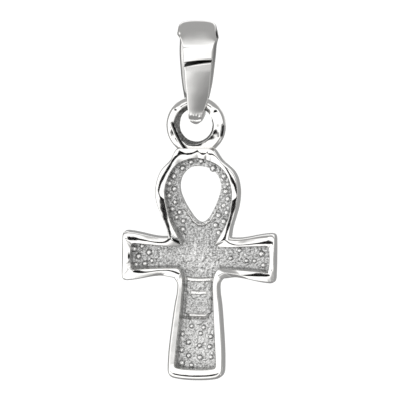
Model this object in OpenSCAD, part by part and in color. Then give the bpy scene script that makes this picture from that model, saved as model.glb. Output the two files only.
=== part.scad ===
// Ankh pendant: a hollow-backed casting with an eye on top, hung on a folded strip bail.
// Millimetres. X is across the pendant, Z is up, and the hollow back faces -Y.
// The origin is the inside top of the bail, where the chain lies.

/* [Bail] */
// height of the bail over its outside
bail_height = 7.53; // [6.5:0.05:9]
// width of the strip at the top of the bail
bail_width = 2.84; // [2.4:0.05:3.4]
// front to back over the outside, at the top
bail_depth = 3.2; // [2.8:0.05:3.8]
// front to back over the outside, at the foot
foot_depth = 1.96; // [1.9:0.02:2.3]
// thickness of the strip
strip = 0.5; // [0.4:0.02:0.6]
// thickness of the foot, under the eye
foot_thickness = 1.12; // [0.9:0.02:1.3]
// height of the open seam in the back leaf
seam_gap = 0.24; // [0.12:0.02:0.4]
// how far under the top of the bail the seam lies
seam_drop = 3.12; // [2.7:0.05:3.6]
// how far the seam slopes up to the right, in degrees
seam_slope = 4; // [0:1:10]

/* [Eye] */
// hole of the eye
eye_hole = 2.56; // [2.5:0.02:3]
// width of the eye's ring, measured outwards
eye_wire = 0.88; // [0.7:0.02:0.92]
// front to back over the eye's ring
eye_thickness = 0.94; // [0.9:0.02:1]
// free space between the eye and the bail, all the way round its swing
eye_clearance = 0.05; // [0.03:0.01:0.1]
// how far the eye was cast to the left of the ankh's own middle
eye_offset = 0.2; // [0:0.02:0.3]
// how much further to the right the arms were cast
arm_shift = 0.2; // [0:0.02:0.3]

/* [Loop] */
// width over the loop
loop_width = 6.2; // [5.4:0.05:6.8]
// from the top of the loop down to the top edge of the arms
loop_height = 6.56; // [6:0.02:7.5]
// width of the teardrop hole
hole_width = 3.12; // [2.6:0.05:3.5]
// height of the teardrop hole
hole_height = 4.1; // [3.6:0.05:4.6]
// metal above the teardrop hole
hole_drop = 1.42; // [1.2:0.02:1.6]
// how far the teardrop hole lies to the right of the loop's middle
hole_offset = 0.12; // [0:0.02:0.2]

/* [Arms and stem] */
// from the tip of one arm to the tip of the other
arm_span = 11.2; // [10:0.1:12.5]
// height of an arm where it leaves the loop
arm_root = 2.85; // [2.4:0.05:3.1]
// height of an arm at its tip
arm_tip = 3.6; // [3:0.05:4]
// from the middle of the arms down to the foot of the stem
stem_length = 8.96; // [8:0.02:10]
// width of the stem just under the arms
stem_neck = 3.08; // [2.7:0.02:3.3]
// width of the stem near its foot
stem_foot = 4.12; // [3.6:0.02:4.6]

/* [Section] */
// front to back over the whole casting
total_depth = 2.1; // [1.8:0.05:2.4]
// from the crest of the rim to the widest line round the side
side_depth = 1.66; // [1.4:0.02:1.75]
// from the crest of the rim down to the sunken floor
floor_depth = 1.16; // [0.9:0.02:1.3]
// from the crest of the rim forward to the middle of the eye
back_reach = 1.3; // [1.1:0.02:1.4]

/* [Nubs and stamp plate] */
// diameter of a nub
nub = 0.46; // [0.3:0.02:0.54]
// how far a nub stands up from the floor
nub_height = 0.16; // [0.1:0.01:0.2]
// width of the bare stamp plate
plate_width = 1.9; // [1.6:0.05:2.1]
// height of the bare stamp plate
plate_height = 2.6; // [2.3:0.05:2.9]
// how far the plate stands up from the floor
plate_lift = 0.1; // [0.06:0.01:0.2]
// how far a ledge of the plate stands up from the floor
ledge_lift = 0.2; // [0.12:0.01:0.3]

/* [Hidden] */

// The levels of the parts, worked out from the sizes above.
swept = eye_thickness / 2 + eye_clearance;
hinge_z = strip - bail_height + foot_thickness + swept;
eye_z = hinge_z - (eye_hole + eye_wire) / 2;
loop_z = eye_z - eye_hole / 2 - eye_wire * 0.25;
arm_top_z = loop_z - loop_height;
arm_z = arm_top_z - arm_root / 2;
foot_z = arm_z - stem_length;

// A smooth curve through key points, with a given point before the first and after the last.
function curve_at(a, b, c, d, t) =
    (2 * b + (c - a) * t + (2 * a - 5 * b + 4 * c - d) * t * t + (3 * b - a - 3 * c + d) * t * t * t) / 2;
function smooth(keys, before, after, steps) = [
    for (i = [0:len(keys) - 2], s = [0:steps - 1])
        curve_at(i == 0 ? before : keys[i - 1], keys[i], keys[i + 1],
                 i == len(keys) - 2 ? after : keys[i + 2], s / steps),
    keys[len(keys) - 1]
];
function flip(p) = [-p[0], p[1]];
function last(list) = list[len(list) - 1];
function tail(list) = [for (i = [1:len(list) - 1]) list[i]];
function mix(a, b, t) = a + (b - a) * t;

// Bail.
// Half outlines from the top down: share of the bail's half width, share of its height.
bail_front = [[0, 0], [0.45, 0.004], [0.82, 0.02], [0.96, 0.042], [1, 0.08], [0.985, 0.15], [0.945, 0.25],
              [0.9, 0.34], [0.83, 0.48], [0.745, 0.62], [0.62, 0.76], [0.47, 0.87], [0.32, 0.955], [0.16, 0.99],
              [0, 1]];
bail_back = [[0.985, 0.15], [0.86, 0.19], [0.77, 0.27], [0.72, 0.38], [0.67, 0.5], [0.62, 0.62], [0.53, 0.76],
             [0.41, 0.87], [0.32, 0.955]];
function bail_points(keys) = [for (k = keys) [k[0] * bail_width / 2, strip - k[1] * bail_height]];

module bail_outline() {
    keys = bail_points(bail_front);
    half = smooth(keys, flip(keys[1]), flip(keys[len(keys) - 2]), 3);
    polygon(concat(half, [for (i = [len(half) - 2:-1:1]) flip(half[i])]));
}

// What the narrower back leaf leaves out of the front outline, on the right.
module bail_shoulder() {
    keys = bail_points(bail_back);
    side = smooth(keys, keys[0], last(keys), 3);
    polygon(concat(side, [[bail_width, last(side)[1]], [bail_width, side[0][1]]]));
}

// Extrudes an outline drawn in Y and Z across the whole width of the bail.
module along_x() {
    translate([-bail_width, 0, 0]) rotate([90, 0, 90]) linear_extrude(2 * bail_width) children();
}

// A solid belt round two cylinders that lie across the pendant, one above the other.
module belt(top_r, top_z, foot_r, low_z) {
    lean = asin((top_r - foot_r) / (top_z - low_z));
    along_x() translate([0, top_z]) circle(top_r);
    along_x() translate([0, low_z]) circle(foot_r);
    along_x() polygon([
        [top_r * cos(lean), top_z - top_r * sin(lean)], [foot_r * cos(lean), low_z - foot_r * sin(lean)],
        [-foot_r * cos(lean), low_z - foot_r * sin(lean)], [-top_r * cos(lean), top_z - top_r * sin(lean)]
    ]);
}

// Extrudes an outline drawn in X and Z from y0 to y1.
module across(y0, y1) {
    translate([0, y1, 0]) rotate([90, 0, 0]) linear_extrude(y1 - y0) children();
}

// The room that the eye's ring sweeps as it swings, widening to both sides as the ring curves away.
module swing_room() {
    round_r = (eye_hole + eye_wire) / 2;
    translate([0, 0, hinge_z]) rotate([0, 90, 0]) rotate_extrude() difference() {
        translate([0, -round_r * 0.8]) square([round_r, round_r * 1.6]);
        translate([round_r, 0]) circle(round_r - swept);
    }
}

// The open seam across the back leaf: a slice of a wide ring, so that it arches a little.
module seam(arch) {
    intersection() {
        translate([0, 0, strip - seam_drop - arch]) rotate([0, -seam_slope, 0]) difference() {
            across(-bail_depth, 0) circle(arch);
            across(-2 * bail_depth, bail_depth) circle(arch - seam_gap);
        }
        translate([-bail_width, -bail_depth, strip - seam_drop - arch])
            cube([2 * bail_width, bail_depth, 2 * arch]);
    }
}

module bail() {
    top_z = strip - bail_depth / 2;
    seam_r = bail_height * 0.66;
    color("Silver") difference() {
        intersection() {
            belt(bail_depth / 2, top_z, foot_depth / 2, strip - bail_height + foot_depth / 2);
            across(-bail_depth, bail_depth) bail_outline();
        }
        belt(bail_depth / 2 - strip, top_z, swept, hinge_z);
        for (side = [0, 1]) mirror([side, 0, 0]) across(-bail_depth, 0) bail_shoulder();
        seam(seam_r);
        swing_room();
    }
}

// Ankh outline, right half, from the top round to the foot. Outer edge first, then the pocket's edge.
// The loop: shares of its half width and of its height.
loop_outer = [[0, 0.016], [0.239, 0.013], [0.395, 0.017], [0.486, 0.048], [0.617, 0.151], [0.849, 0.259],
              [0.957, 0.367], [1, 0.502], [0.964, 0.637], [0.868, 0.772], [0.78, 0.886], [0.737, 1]];
loop_inner = [[0, 0.119], [0.167, 0.13], [0.299, 0.151], [0.419, 0.176], [0.514, 0.205], [0.629, 0.265],
              [0.734, 0.367], [0.792, 0.497], [0.766, 0.637], [0.694, 0.788], [0.593, 0.902], [0.401, 1.064]];
// The teardrop hole: shares of its half width and of its height.
hole_edge = [[0, 0], [0.231, 0.005], [0.44, 0.026], [0.625, 0.069], [0.787, 0.126], [0.926, 0.207], [1, 0.328],
             [0.972, 0.457], [0.843, 0.603], [0.63, 0.767], [0.347, 0.922], [0, 1]];
// An arm from the loop to the corner: share of its length and of its flare, outer edge and pocket's edge.
arm_outer = [[0, 0], [0.1, -0.03], [0.23, 0.02], [0.39, 0.25], [0.574, 0.6], [0.742, 0.87], [0.882, 1]];
arm_inner = [[0.06, 0.14], [0.21, 0.02], [0.4, 0.12], [0.59, 0.35], [0.78, 0.65], [0.91, 0.9]];
// The rounded end of an arm, from its middle up to the corner: length share, half height share.
end_outer = [[1, 0], [0.998, 0.5], [0.991, 0.83], [0.959, 0.965]];
end_inner = [[1, 0], [0.994, 0.45], [0.984, 0.76], [0.962, 0.93]];
// The stem: half width share between neck and foot, share of its length under the middle of the arms.
stem_outer = [[0, 0.215], [0.02, 0.289], [0.25, 0.37], [0.46, 0.467], [0.645, 0.573], [0.82, 0.679],
              [0.95, 0.785], [1, 0.882]];
stem_inner = [[0, 0.191], [0.05, 0.28], [0.16, 0.37], [0.31, 0.467], [0.5, 0.573], [0.69, 0.679],
              [0.87, 0.785], [1, 0.866]];
// The foot: share of the stem's half width there, share of its length.
foot_outer = [[0.978, 0.939], [0.859, 0.976], [0.614, 0.991], [0.307, 0.998], [0, 1]];
foot_inner = [[0.971, 0.902], [0.84, 0.931], [0.583, 0.944], [0.291, 0.95], [0, 0.951]];

root_x = loop_width / 2 * last(loop_outer)[0];
cusp_x = loop_width / 2 * last(loop_inner)[0];
rim_root = arm_root * 0.215;
rim_tip = arm_tip * 0.225;
rim_end = arm_tip * 0.18;
pocket_neck = stem_neck * 0.735;
pocket_foot = stem_foot * 0.742;
steps = 2;

function loop_line(keys) =
    [for (k = keys) [k[0] * loop_width / 2, loop_z - k[1] * loop_height]];
function arm_line(keys, x0, x1, root, tip, up) =
    [for (k = keys) [x0 + k[0] * (x1 - x0), arm_z + up * (root + k[1] * (tip - root)) / 2]];
function end_line(keys, x1, x0, tip, up) =
    [for (k = keys) [x0 + k[0] * (x1 - x0), arm_z + up * k[1] * tip / 2]];
function stem_line(keys, neck, foot) =
    [for (k = keys) [(neck + k[0] * (foot - neck)) / 2, arm_z - k[1] * stem_length]];
function foot_line(keys, foot) =
    [for (k = keys) [k[0] * foot / 2, arm_z - k[1] * stem_length]];
function backward(list) = [for (i = [len(list) - 1:-1:0]) list[i]];

// Both edges of the rim, station by station. Every run has as many stations outside as inside.
tip_x = arm_span / 2;
end_x = tip_x - rim_end;
out_loop = loop_line(loop_outer);
in_loop = loop_line(loop_inner);
out_top = arm_line(arm_outer, root_x, tip_x, arm_root, arm_tip, 1);
in_top = concat([last(in_loop)], arm_line(arm_inner, cusp_x, end_x, arm_root - 2 * rim_root, arm_tip - 2 * rim_tip, 1));
out_end = concat([last(out_top)], backward(end_line(end_outer, tip_x, root_x, arm_tip, 1)),
                 tail(end_line(end_outer, tip_x, root_x, arm_tip, -1)),
                 [last(arm_line(arm_outer, root_x, tip_x, arm_root, arm_tip, -1))]);
in_end = concat([last(in_top)], backward(end_line(end_inner, end_x, cusp_x, arm_tip - 2 * rim_tip, 1)),
                tail(end_line(end_inner, end_x, cusp_x, arm_tip - 2 * rim_tip, -1)),
                [last(arm_line(arm_inner, cusp_x, end_x, arm_root - 2 * rim_root, arm_tip - 2 * rim_tip, -1))]);
crotch_out = [stem_neck / 2 + arm_root * 0.09, arm_z - arm_root * 0.54];
crotch_in = [pocket_neck / 2 + arm_root * 0.04, arm_z - arm_root * 0.41];
out_low = concat(backward(tail(arm_line(arm_outer, root_x, tip_x, arm_root, arm_tip, -1))), [crotch_out]);
in_low = concat(backward(arm_line(arm_inner, cusp_x, end_x, arm_root - 2 * rim_root, arm_tip - 2 * rim_tip, -1)),
                [crotch_in]);
out_stem = concat([crotch_out], stem_line(stem_outer, stem_neck, stem_foot));
in_stem = concat([crotch_in], stem_line(stem_inner, pocket_neck, pocket_foot));
out_foot = concat([last(out_stem)], foot_line(foot_outer, stem_foot));
in_foot = concat([last(in_stem)], foot_line(foot_inner, pocket_foot));

function run(line) = smooth(line, line[0], last(line), steps);
function run_top(line) = smooth(line, flip(line[1]), last(line), steps);
function run_foot(line) = smooth(line, line[0], flip(line[len(line) - 2]), steps);
outer = concat(run_top(out_loop), tail(run(out_top)), tail(run(out_end)), tail(run(out_low)),
               tail(run(out_stem)), tail(run_foot(out_foot)));
inner = concat(run_top(in_loop), tail(run(in_top)), tail(run(in_end)), tail(run(in_low)),
               tail(run(in_stem)), tail(run_foot(in_foot)));

// The middle lines that the floor and the front run to: hole edge, arm, stem.
hole_keys = [for (k = hole_edge) [k[0] * hole_width / 2, loop_z - hole_drop - k[1] * hole_height]];
hole_half = smooth(hole_keys, flip(hole_keys[1]), flip(hole_keys[len(hole_keys) - 2]), steps);
h = len(hole_half) - 1;
a = len(run(out_top)) - 1;
c = len(run(out_end)) - 1;
b = len(run(out_stem)) - 1;
d = len(run(out_foot)) - 1;
P = h + 2 * a + c + b + d;
M = 2 * P;
arm_mid = [for (j = [0:a]) [mix(cusp_x * 0.85, end_x - rim_tip * 0.9, j / a), arm_z]];
stem_mid = [for (j = [0:b]) [0, mix(arm_z - arm_root * 0.68, arm_z - stem_length * 0.81, j / b)]];

// Stations of the right half: which outline point goes with which middle point.
H = 2 * h;
arm_0 = H;
arm_1 = H + a + 1;
stem_0 = H + 2 * (a + 1);
stations = concat(
    [for (j = [0:h]) [j, j]],
    [for (j = [0:a]) [h + j, arm_0 + j]],
    [for (j = [1:c]) [h + a + j, arm_0 + a]],
    [for (j = [1:a]) [h + a + c + j, arm_0 + a - j]],
    [for (j = [0:b]) [h + 2 * a + c + j, stem_0 + j]],
    [for (j = [1:d]) [h + 2 * a + c + b + j, stem_0 + b]]
);
function left_of(m) = m <= h ? (H - m) % H : (m < arm_1 ? m + a + 1 : m);
function middle_of(j) = [for (s = stations) if (s[0] == j) s[1]][0];
hole_line = concat(hole_half, [for (j = [h - 1:-1:1]) flip(hole_half[j])]);
middles = concat([for (p = hole_line) [p[0] + hole_offset, p[1]]],
                 arm_mid, [for (p = arm_mid) flip(p)], stem_mid);

// The rim's section from the floor round to the front: share from the outer edge to the pocket's edge
// (over 1 goes on towards the middle line), then the depth under the crest.
step = total_depth - side_depth;
section = [
    [1.15, floor_depth], [1.05, floor_depth * 0.45], [1, floor_depth * 0.18], [0.78, floor_depth * 0.05],
    [0.47, 0], [0.29, floor_depth * 0.05], [0.19, floor_depth * 0.18], [0, side_depth],
    [0.09, side_depth + step * 0.42], [0.33, side_depth + step * 0.76], [0.85, side_depth + step * 0.95]
];
function full(half) = concat(half, [for (j = [P - 1:-1:1]) flip(half[j])]);
spread = [for (j = [0:P]) middles[middle_of(j)]];
function ring(share) = full([
    for (j = [0:P]) share <= 1 ? mix(outer[j], inner[j], share) : mix(inner[j], spread[j], share - 1)
]);
// The neck stands under the eye, the loop comes back to its own middle below it, and the arms lie
// further to the right again, which the stem makes good towards its foot.
function ease(t) = let (u = min(1, max(0, t))) u * u * (3 - 2 * u);
function sway(z) = eye_offset * ease((loop_z - z) / loop_height / 0.35)
    + arm_shift * ease(2 * (loop_z - z) / loop_height - 1) * (1 - 0.6 * ease((arm_z - z) / stem_length));
function lay(points, depth) = [for (p = points) [p[0] + sway(p[1]), depth - back_reach, p[1]]];
rings = len(section);
floor_0 = rings * M;
front_0 = floor_0 + len(middles);
body_points = concat(
    [for (s = section) each lay(ring(s[0]), s[1])],
    lay(middles, floor_depth),
    [for (i = [0:len(middles) - 1]) each lay([middles[i]], i < H ? side_depth + step * 0.7 : total_depth)]
);
function cap(ring_0, mid_0) = [
    for (i = [0:len(stations) - 2]) let (p = stations[i], q = stations[i + 1]) each concat(
        p[0] == q[0] ? [] : [
            [ring_0 + p[0], ring_0 + q[0] % M, mid_0 + q[1]],
            [ring_0 + (M - q[0]) % M, ring_0 + (M - p[0]) % M, mid_0 + left_of(q[1])]
        ],
        p[1] == q[1] ? [] : [
            [ring_0 + p[0], mid_0 + q[1], mid_0 + p[1]],
            [mid_0 + left_of(q[1]), ring_0 + (M - p[0]) % M, mid_0 + left_of(p[1])]
        ]
    ),
    [mid_0 + h, mid_0 + arm_0, mid_0 + stem_0],
    [mid_0 + arm_1, mid_0 + h, mid_0 + stem_0]
];
body_faces = concat(
    [for (s = [0:rings - 2], i = [0:M - 1]) let (n = (i + 1) % M) each [
        [(s + 1) * M + i, (s + 1) * M + n, s * M + n],
        [(s + 1) * M + i, s * M + n, s * M + i]
    ]],
    cap(0, floor_0),
    [for (f = cap((rings - 1) * M, front_0)) [f[2], f[1], f[0]]],
    [for (k = [0:H - 1]) let (n = (k + 1) % H) each [
        [floor_0 + k, floor_0 + n, front_0 + n],
        [floor_0 + k, front_0 + n, front_0 + k]
    ]]
);

module body() {
    polyhedron(points = body_points, faces = body_faces, convexity = 12);
}

module eye() {
    rounding = eye_wire / 2;
    reach = (eye_thickness - eye_wire) / 2;
    translate([0, 0, eye_z]) rotate([90, 0, 0]) rotate_extrude() {
        translate([(eye_hole + eye_wire) / 2, reach]) circle(rounding);
        translate([(eye_hole + eye_wire) / 2, -reach]) circle(rounding);
        translate([eye_hole / 2, -reach]) square([eye_wire, 2 * reach]);
    }
}

// Where the nubs stand on the floor. Round the loop: shares of its half width and of its height.
band_nubs = [[-0.134, 0.173], [0.105, 0.162], [-0.349, 0.243], [0.368, 0.238], [-0.565, 0.335], [0.608, 0.324],
             [-0.672, 0.416], [0.703, 0.41], [-0.553, 0.475], [0.656, 0.491], [-0.672, 0.551], [0.703, 0.572],
             [-0.541, 0.621], [0.596, 0.648], [-0.612, 0.697], [0.656, 0.724], [-0.445, 0.729], [0.464, 0.756],
             [-0.529, 0.788], [0.572, 0.821], [-0.373, 0.826], [0.38, 0.864], [-0.397, 0.918], [0.44, 0.945]];
// In the stem: shares of the foot's half width and of the stem's length under the middle of the arms.
stem_nubs = [[-0.213, 0.565], [0.217, 0.573], [-0.524, 0.63], [0.118, 0.622], [0.479, 0.646], [-0.3, 0.695],
             [0.097, 0.72], [0.455, 0.728], [-0.54, 0.76], [-0.283, 0.805], [0.112, 0.817], [0.504, 0.813],
             [-0.524, 0.866], [-0.182, 0.882]];
// In the arms: shares of half the span and of half an arm's height at the loop.
arm_nubs = [[-0.749, 0.476], [-0.794, -0.053], [-0.852, 0.317], [-0.827, -0.476], [-0.658, 0.159],
            [-0.62, -0.265], [-0.71, -0.423], [0.519, 0.37], [0.609, -0.159], [0.713, -0.159], [0.803, 0.212],
            [0.402, -0.053], [0.829, -0.37]];
nub_places = concat(
    [for (n = band_nubs) [n[0] * loop_width / 2, loop_z - n[1] * loop_height]],
    [for (n = stem_nubs) [n[0] * stem_foot / 2, arm_z - n[1] * stem_length]],
    [for (n = arm_nubs) [n[0] * arm_span / 2, arm_z + n[1] * arm_root / 2]]
);

// A ball sunk in the floor so that a round cap of the wanted width and height stands up.
module nubs() {
    ball = (nub * nub / 4 + nub_height * nub_height) / (2 * nub_height);
    floor_y = floor_depth - back_reach;
    for (p = nub_places)
        translate([p[0] + sway(p[1]), floor_y - nub_height + ball, p[1]]) sphere(ball);
}

// The plate for a stamp, left bare, with a ledge at its top, across it and at its bottom.
module plate() {
    floor_y = floor_depth - back_reach;
    root = floor_depth * 0.17;
    top_z = arm_z - stem_length * 0.171;
    ledge = plate_height * 0.05;
    translate([sway(top_z - plate_height / 2), 0, 0]) {
        across(floor_y - plate_lift, floor_y + root)
            translate([-plate_width / 2, top_z - plate_height]) square([plate_width, plate_height]);
        for (l = [[0, 1], [0.35, 0.56], [0.95, 0.6]])
            across(floor_y - ledge_lift, floor_y + root)
                translate([-plate_width * l[1] / 2, top_z - plate_height * l[0] - ledge])
                    square([plate_width * l[1], ledge]);
    }
}

module ankh() {
    color("Gainsboro") {
        body();
        eye();
        nubs();
        plate();
    }
}

bail();
ankh();
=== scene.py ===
# %% [markdown]
# # A silver ankh charm, seen from its hollow back
#
# The charm is a small casting that hangs by its eye from a folded strip of silver, the bail.
# The photograph shows the back: a polished rim round a sunken floor that was left as it came out of the
# mould, with small nubs on it. This lesson dresses the measured model with the fine forms and the
# finishes. The first cell brings the measured model in.

# %% Bring in the measured model
import bmesh
import bpy
import math
import numpy as np
from mathutils import Matrix, Vector, kdtree, noise
from mathutils.geometry import delaunay_2d_cdt


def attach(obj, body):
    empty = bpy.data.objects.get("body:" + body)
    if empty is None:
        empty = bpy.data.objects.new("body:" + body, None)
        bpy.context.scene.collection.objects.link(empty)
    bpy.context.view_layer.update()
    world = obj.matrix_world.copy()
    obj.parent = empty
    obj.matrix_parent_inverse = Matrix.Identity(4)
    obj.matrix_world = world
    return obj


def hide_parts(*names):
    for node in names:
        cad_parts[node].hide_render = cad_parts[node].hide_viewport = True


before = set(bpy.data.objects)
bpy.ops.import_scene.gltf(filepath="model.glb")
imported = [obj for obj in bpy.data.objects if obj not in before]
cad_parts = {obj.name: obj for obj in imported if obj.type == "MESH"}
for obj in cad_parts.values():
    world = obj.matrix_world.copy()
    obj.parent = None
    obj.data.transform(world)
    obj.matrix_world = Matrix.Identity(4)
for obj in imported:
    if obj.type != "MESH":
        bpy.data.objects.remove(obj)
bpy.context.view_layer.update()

MM = 0.001
scene = bpy.context.scene

# %% [markdown]
# ## Sizes
#
# A goldsmith would cut the model from a drawing. Here the drawing is a handful of sizes in millimetres,
# the same ones as the measured model has, so that the fine forms land exactly on the plain ones.
# X runs across the charm, Z up, and the hollow back looks towards -Y.

# %% The drawing's sizes
bail_height, bail_width, bail_depth, foot_depth = 7.53, 2.84, 3.2, 1.96
strip, foot_thickness = 0.5, 1.12
seam_gap, seam_drop, seam_slope = 0.24, 3.12, 4.0
eye_hole, eye_wire, eye_thickness, eye_clearance, eye_offset = 2.56, 0.88, 0.94, 0.05, 0.2
loop_width, loop_height = 6.2, 6.56
hole_width, hole_height, hole_drop, hole_offset = 3.12, 4.1, 1.42, 0.12
arm_span, arm_root, arm_tip, arm_shift = 11.2, 2.85, 3.6, 0.2
stem_length, stem_neck, stem_foot = 8.96, 3.08, 4.12
total_depth, side_depth, floor_depth, back_reach = 2.1, 1.66, 1.16, 1.3
nub, nub_height = 0.46, 0.16
plate_width, plate_height, plate_lift, ledge_lift = 1.9, 2.6, 0.1, 0.2

swept = eye_thickness / 2 + eye_clearance
hinge_z = strip - bail_height + foot_thickness + swept
eye_z = hinge_z - (eye_hole + eye_wire) / 2
loop_z = eye_z - eye_hole / 2 - eye_wire * 0.25
arm_z = loop_z - loop_height - arm_root / 2
foot_z = arm_z - stem_length
print("eye at", round(eye_z, 2), "arms at", round(arm_z, 2), "foot at", round(foot_z, 2))

# %% [markdown]
# ## Smooth lines from a few points
#
# An outline is drawn through a few points and then faired. The curve used here goes through
# every point and leaves each one in the direction of its neighbours, which is what a bent spline does.

# %% Fair a line through points
def fair(points, steps, before=None, after=None):
    p = np.array(points, float)
    first = p[0] if before is None else np.array(before, float)
    final = p[-1] if after is None else np.array(after, float)
    q = np.vstack([first, p, final])
    t = (np.arange(steps) / steps)[:, None]
    runs = []
    for i in range(len(p) - 1):
        a, b, c, d = q[i], q[i + 1], q[i + 2], q[i + 3]
        run = 2 * b + (c - a) * t + (2 * a - 5 * b + 4 * c - d) * t**2 + (3 * b - a - 3 * c + d) * t**3
        runs.append(run / 2)
    return np.vstack(runs + [p[-1:]])


def other_side(p):
    return [-p[0], p[1]]


def mix(a, b, t):
    return a + (b - a) * t


def ease(t):
    t = np.clip(t, 0.0, 1.0)
    return t * t * (3 - 2 * t)


def band(value, low, high, soft):
    return ease((value - low) / soft + 0.5) * ease((high - value) / soft + 0.5)


# %% [markdown]
# ## The casting's two edges
#
# The rim has an outer edge, which is the ankh's outline, and an inner edge, where the hollow starts.
# Both are written as shares of the sizes, station by station from the top of the loop round to the foot,
# so that each point outside has its partner inside. Only the right half is drawn.

# %% Draw the right half of both edges
loop_outer = [
    [0, 0.016], [0.239, 0.013], [0.395, 0.017], [0.486, 0.048], [0.617, 0.151], [0.849, 0.259],
    [0.957, 0.367], [1, 0.502], [0.964, 0.637], [0.868, 0.772], [0.78, 0.886], [0.737, 1],
]
loop_inner = [
    [0, 0.119], [0.167, 0.13], [0.299, 0.151], [0.419, 0.176], [0.514, 0.205], [0.629, 0.265],
    [0.734, 0.367], [0.792, 0.497], [0.766, 0.637], [0.694, 0.788], [0.593, 0.902], [0.401, 1.064],
]
hole_edge = [
    [0, 0], [0.231, 0.005], [0.44, 0.026], [0.625, 0.069], [0.787, 0.126], [0.926, 0.207], [1, 0.328],
    [0.972, 0.457], [0.843, 0.603], [0.63, 0.767], [0.347, 0.922], [0, 1],
]
arm_outer = [
    [0, 0], [0.1, -0.03], [0.23, 0.02], [0.39, 0.25], [0.574, 0.6], [0.742, 0.87], [0.882, 1],
]
arm_inner = [[0.06, 0.14], [0.21, 0.02], [0.4, 0.12], [0.59, 0.35], [0.78, 0.65], [0.91, 0.9]]
end_outer = [[1, 0], [0.998, 0.5], [0.991, 0.83], [0.959, 0.965]]
end_inner = [[1, 0], [0.994, 0.45], [0.984, 0.76], [0.962, 0.93]]
stem_outer = [
    [0, 0.215], [0.02, 0.289], [0.25, 0.37], [0.46, 0.467], [0.645, 0.573], [0.82, 0.679],
    [0.95, 0.785], [1, 0.882],
]
stem_inner = [
    [0, 0.191], [0.05, 0.28], [0.16, 0.37], [0.31, 0.467], [0.5, 0.573], [0.69, 0.679], [0.87, 0.785],
    [1, 0.866],
]
foot_outer = [[0.978, 0.939], [0.859, 0.976], [0.614, 0.991], [0.307, 0.998], [0, 1]]
foot_inner = [[0.975, 0.889], [0.86, 0.9], [0.6, 0.907], [0.3, 0.91], [0, 0.911]]
print("keys of the outer edge at the loop:", len(loop_outer))

# %% Turn the shares into places in millimetres
root_x, cusp_x = loop_width / 2 * loop_outer[-1][0], loop_width / 2 * loop_inner[-1][0]
rim_root, rim_tip, rim_end = arm_root * 0.215, arm_tip * 0.225, arm_tip * 0.18
pocket_neck, pocket_foot = stem_neck * 0.735, stem_foot * 0.742
tip_x = arm_span / 2
end_x = tip_x - rim_end
pocket_root, pocket_tip = arm_root - 2 * rim_root, arm_tip - 2 * rim_tip


def loop_line(keys):
    return [[k[0] * loop_width / 2, loop_z - k[1] * loop_height] for k in keys]


def arm_line(keys, x0, x1, root, tip, up):
    return [[x0 + k[0] * (x1 - x0), arm_z + up * (root + k[1] * (tip - root)) / 2] for k in keys]


def end_line(keys, x1, x0, tip, up):
    return [[x0 + k[0] * (x1 - x0), arm_z + up * k[1] * tip / 2] for k in keys]


def stem_line(keys, neck, foot):
    return [[(neck + k[0] * (foot - neck)) / 2, arm_z - k[1] * stem_length] for k in keys]


def foot_line(keys, foot):
    return [[k[0] * foot / 2, arm_z - k[1] * stem_length] for k in keys]


out_loop, in_loop = loop_line(loop_outer), loop_line(loop_inner)
out_top = arm_line(arm_outer, root_x, tip_x, arm_root, arm_tip, 1)
in_top = [in_loop[-1]] + arm_line(arm_inner, cusp_x, end_x, pocket_root, pocket_tip, 1)
out_under = arm_line(arm_outer, root_x, tip_x, arm_root, arm_tip, -1)
in_under = arm_line(arm_inner, cusp_x, end_x, pocket_root, pocket_tip, -1)
out_end = ([out_top[-1]] + end_line(end_outer, tip_x, root_x, arm_tip, 1)[::-1]
           + end_line(end_outer, tip_x, root_x, arm_tip, -1)[1:] + [out_under[-1]])
in_end = ([in_top[-1]] + end_line(end_inner, end_x, cusp_x, pocket_tip, 1)[::-1]
          + end_line(end_inner, end_x, cusp_x, pocket_tip, -1)[1:] + [in_under[-1]])
crotch_out = [stem_neck / 2 + arm_root * 0.09, arm_z - arm_root * 0.54]
crotch_in = [pocket_neck / 2 + arm_root * 0.04, arm_z - arm_root * 0.41]
out_low = out_under[:0:-1] + [crotch_out]
in_low = in_under[::-1] + [crotch_in]
out_stem = [crotch_out] + stem_line(stem_outer, stem_neck, stem_foot)
in_stem = [crotch_in] + stem_line(stem_inner, pocket_neck, pocket_foot)
out_foot = [out_stem[-1]] + foot_line(foot_outer, stem_foot)
in_foot = [in_stem[-1]] + foot_line(foot_inner, pocket_foot)
print("the arms end at x", tip_x, "and the hollow at", round(end_x, 2))

# %% Fair both edges and the hole
STEPS = 6


def run_round(loop, top, end, low, stem, foot):
    parts = [
        fair(loop, STEPS, before=other_side(loop[1])),
        fair(top, STEPS)[1:],
        fair(end, STEPS)[1:],
        fair(low, STEPS)[1:],
        fair(stem, STEPS)[1:],
        fair(foot, STEPS, after=other_side(foot[-2]))[1:],
    ]
    return np.vstack(parts)


outer_half = run_round(out_loop, out_top, out_end, out_low, out_stem, out_foot)
inner_half = run_round(in_loop, in_top, in_end, in_low, in_stem, in_foot)
hole_keys = [[k[0] * hole_width / 2, loop_z - hole_drop - k[1] * hole_height] for k in hole_edge]
hole_half = fair(hole_keys, STEPS, before=other_side(hole_keys[1]), after=other_side(hole_keys[-2]))
print("stations on the half outline:", len(outer_half), "of them round the hole:", len(hole_half))

# %% [markdown]
# ## From half to whole
#
# The mould was cut by hand. The eye stands a little to one side of the loop and the arms lie a little to
# the other. This lean is put in when the points are laid out, and the drawing itself stays mirrored.

# %% Mirror the half and lean the neck
def sway(z):
    under_neck = eye_offset * ease((loop_z - z) / loop_height / 0.35)
    at_arms = arm_shift * ease(2 * (loop_z - z) / loop_height - 1)
    return under_neck + at_arms * (1 - 0.6 * ease((arm_z - z) / stem_length))


def whole(half):
    mirrored = half[-2:0:-1].copy()
    mirrored[:, 0] *= -1
    return np.vstack([half, mirrored])


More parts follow.
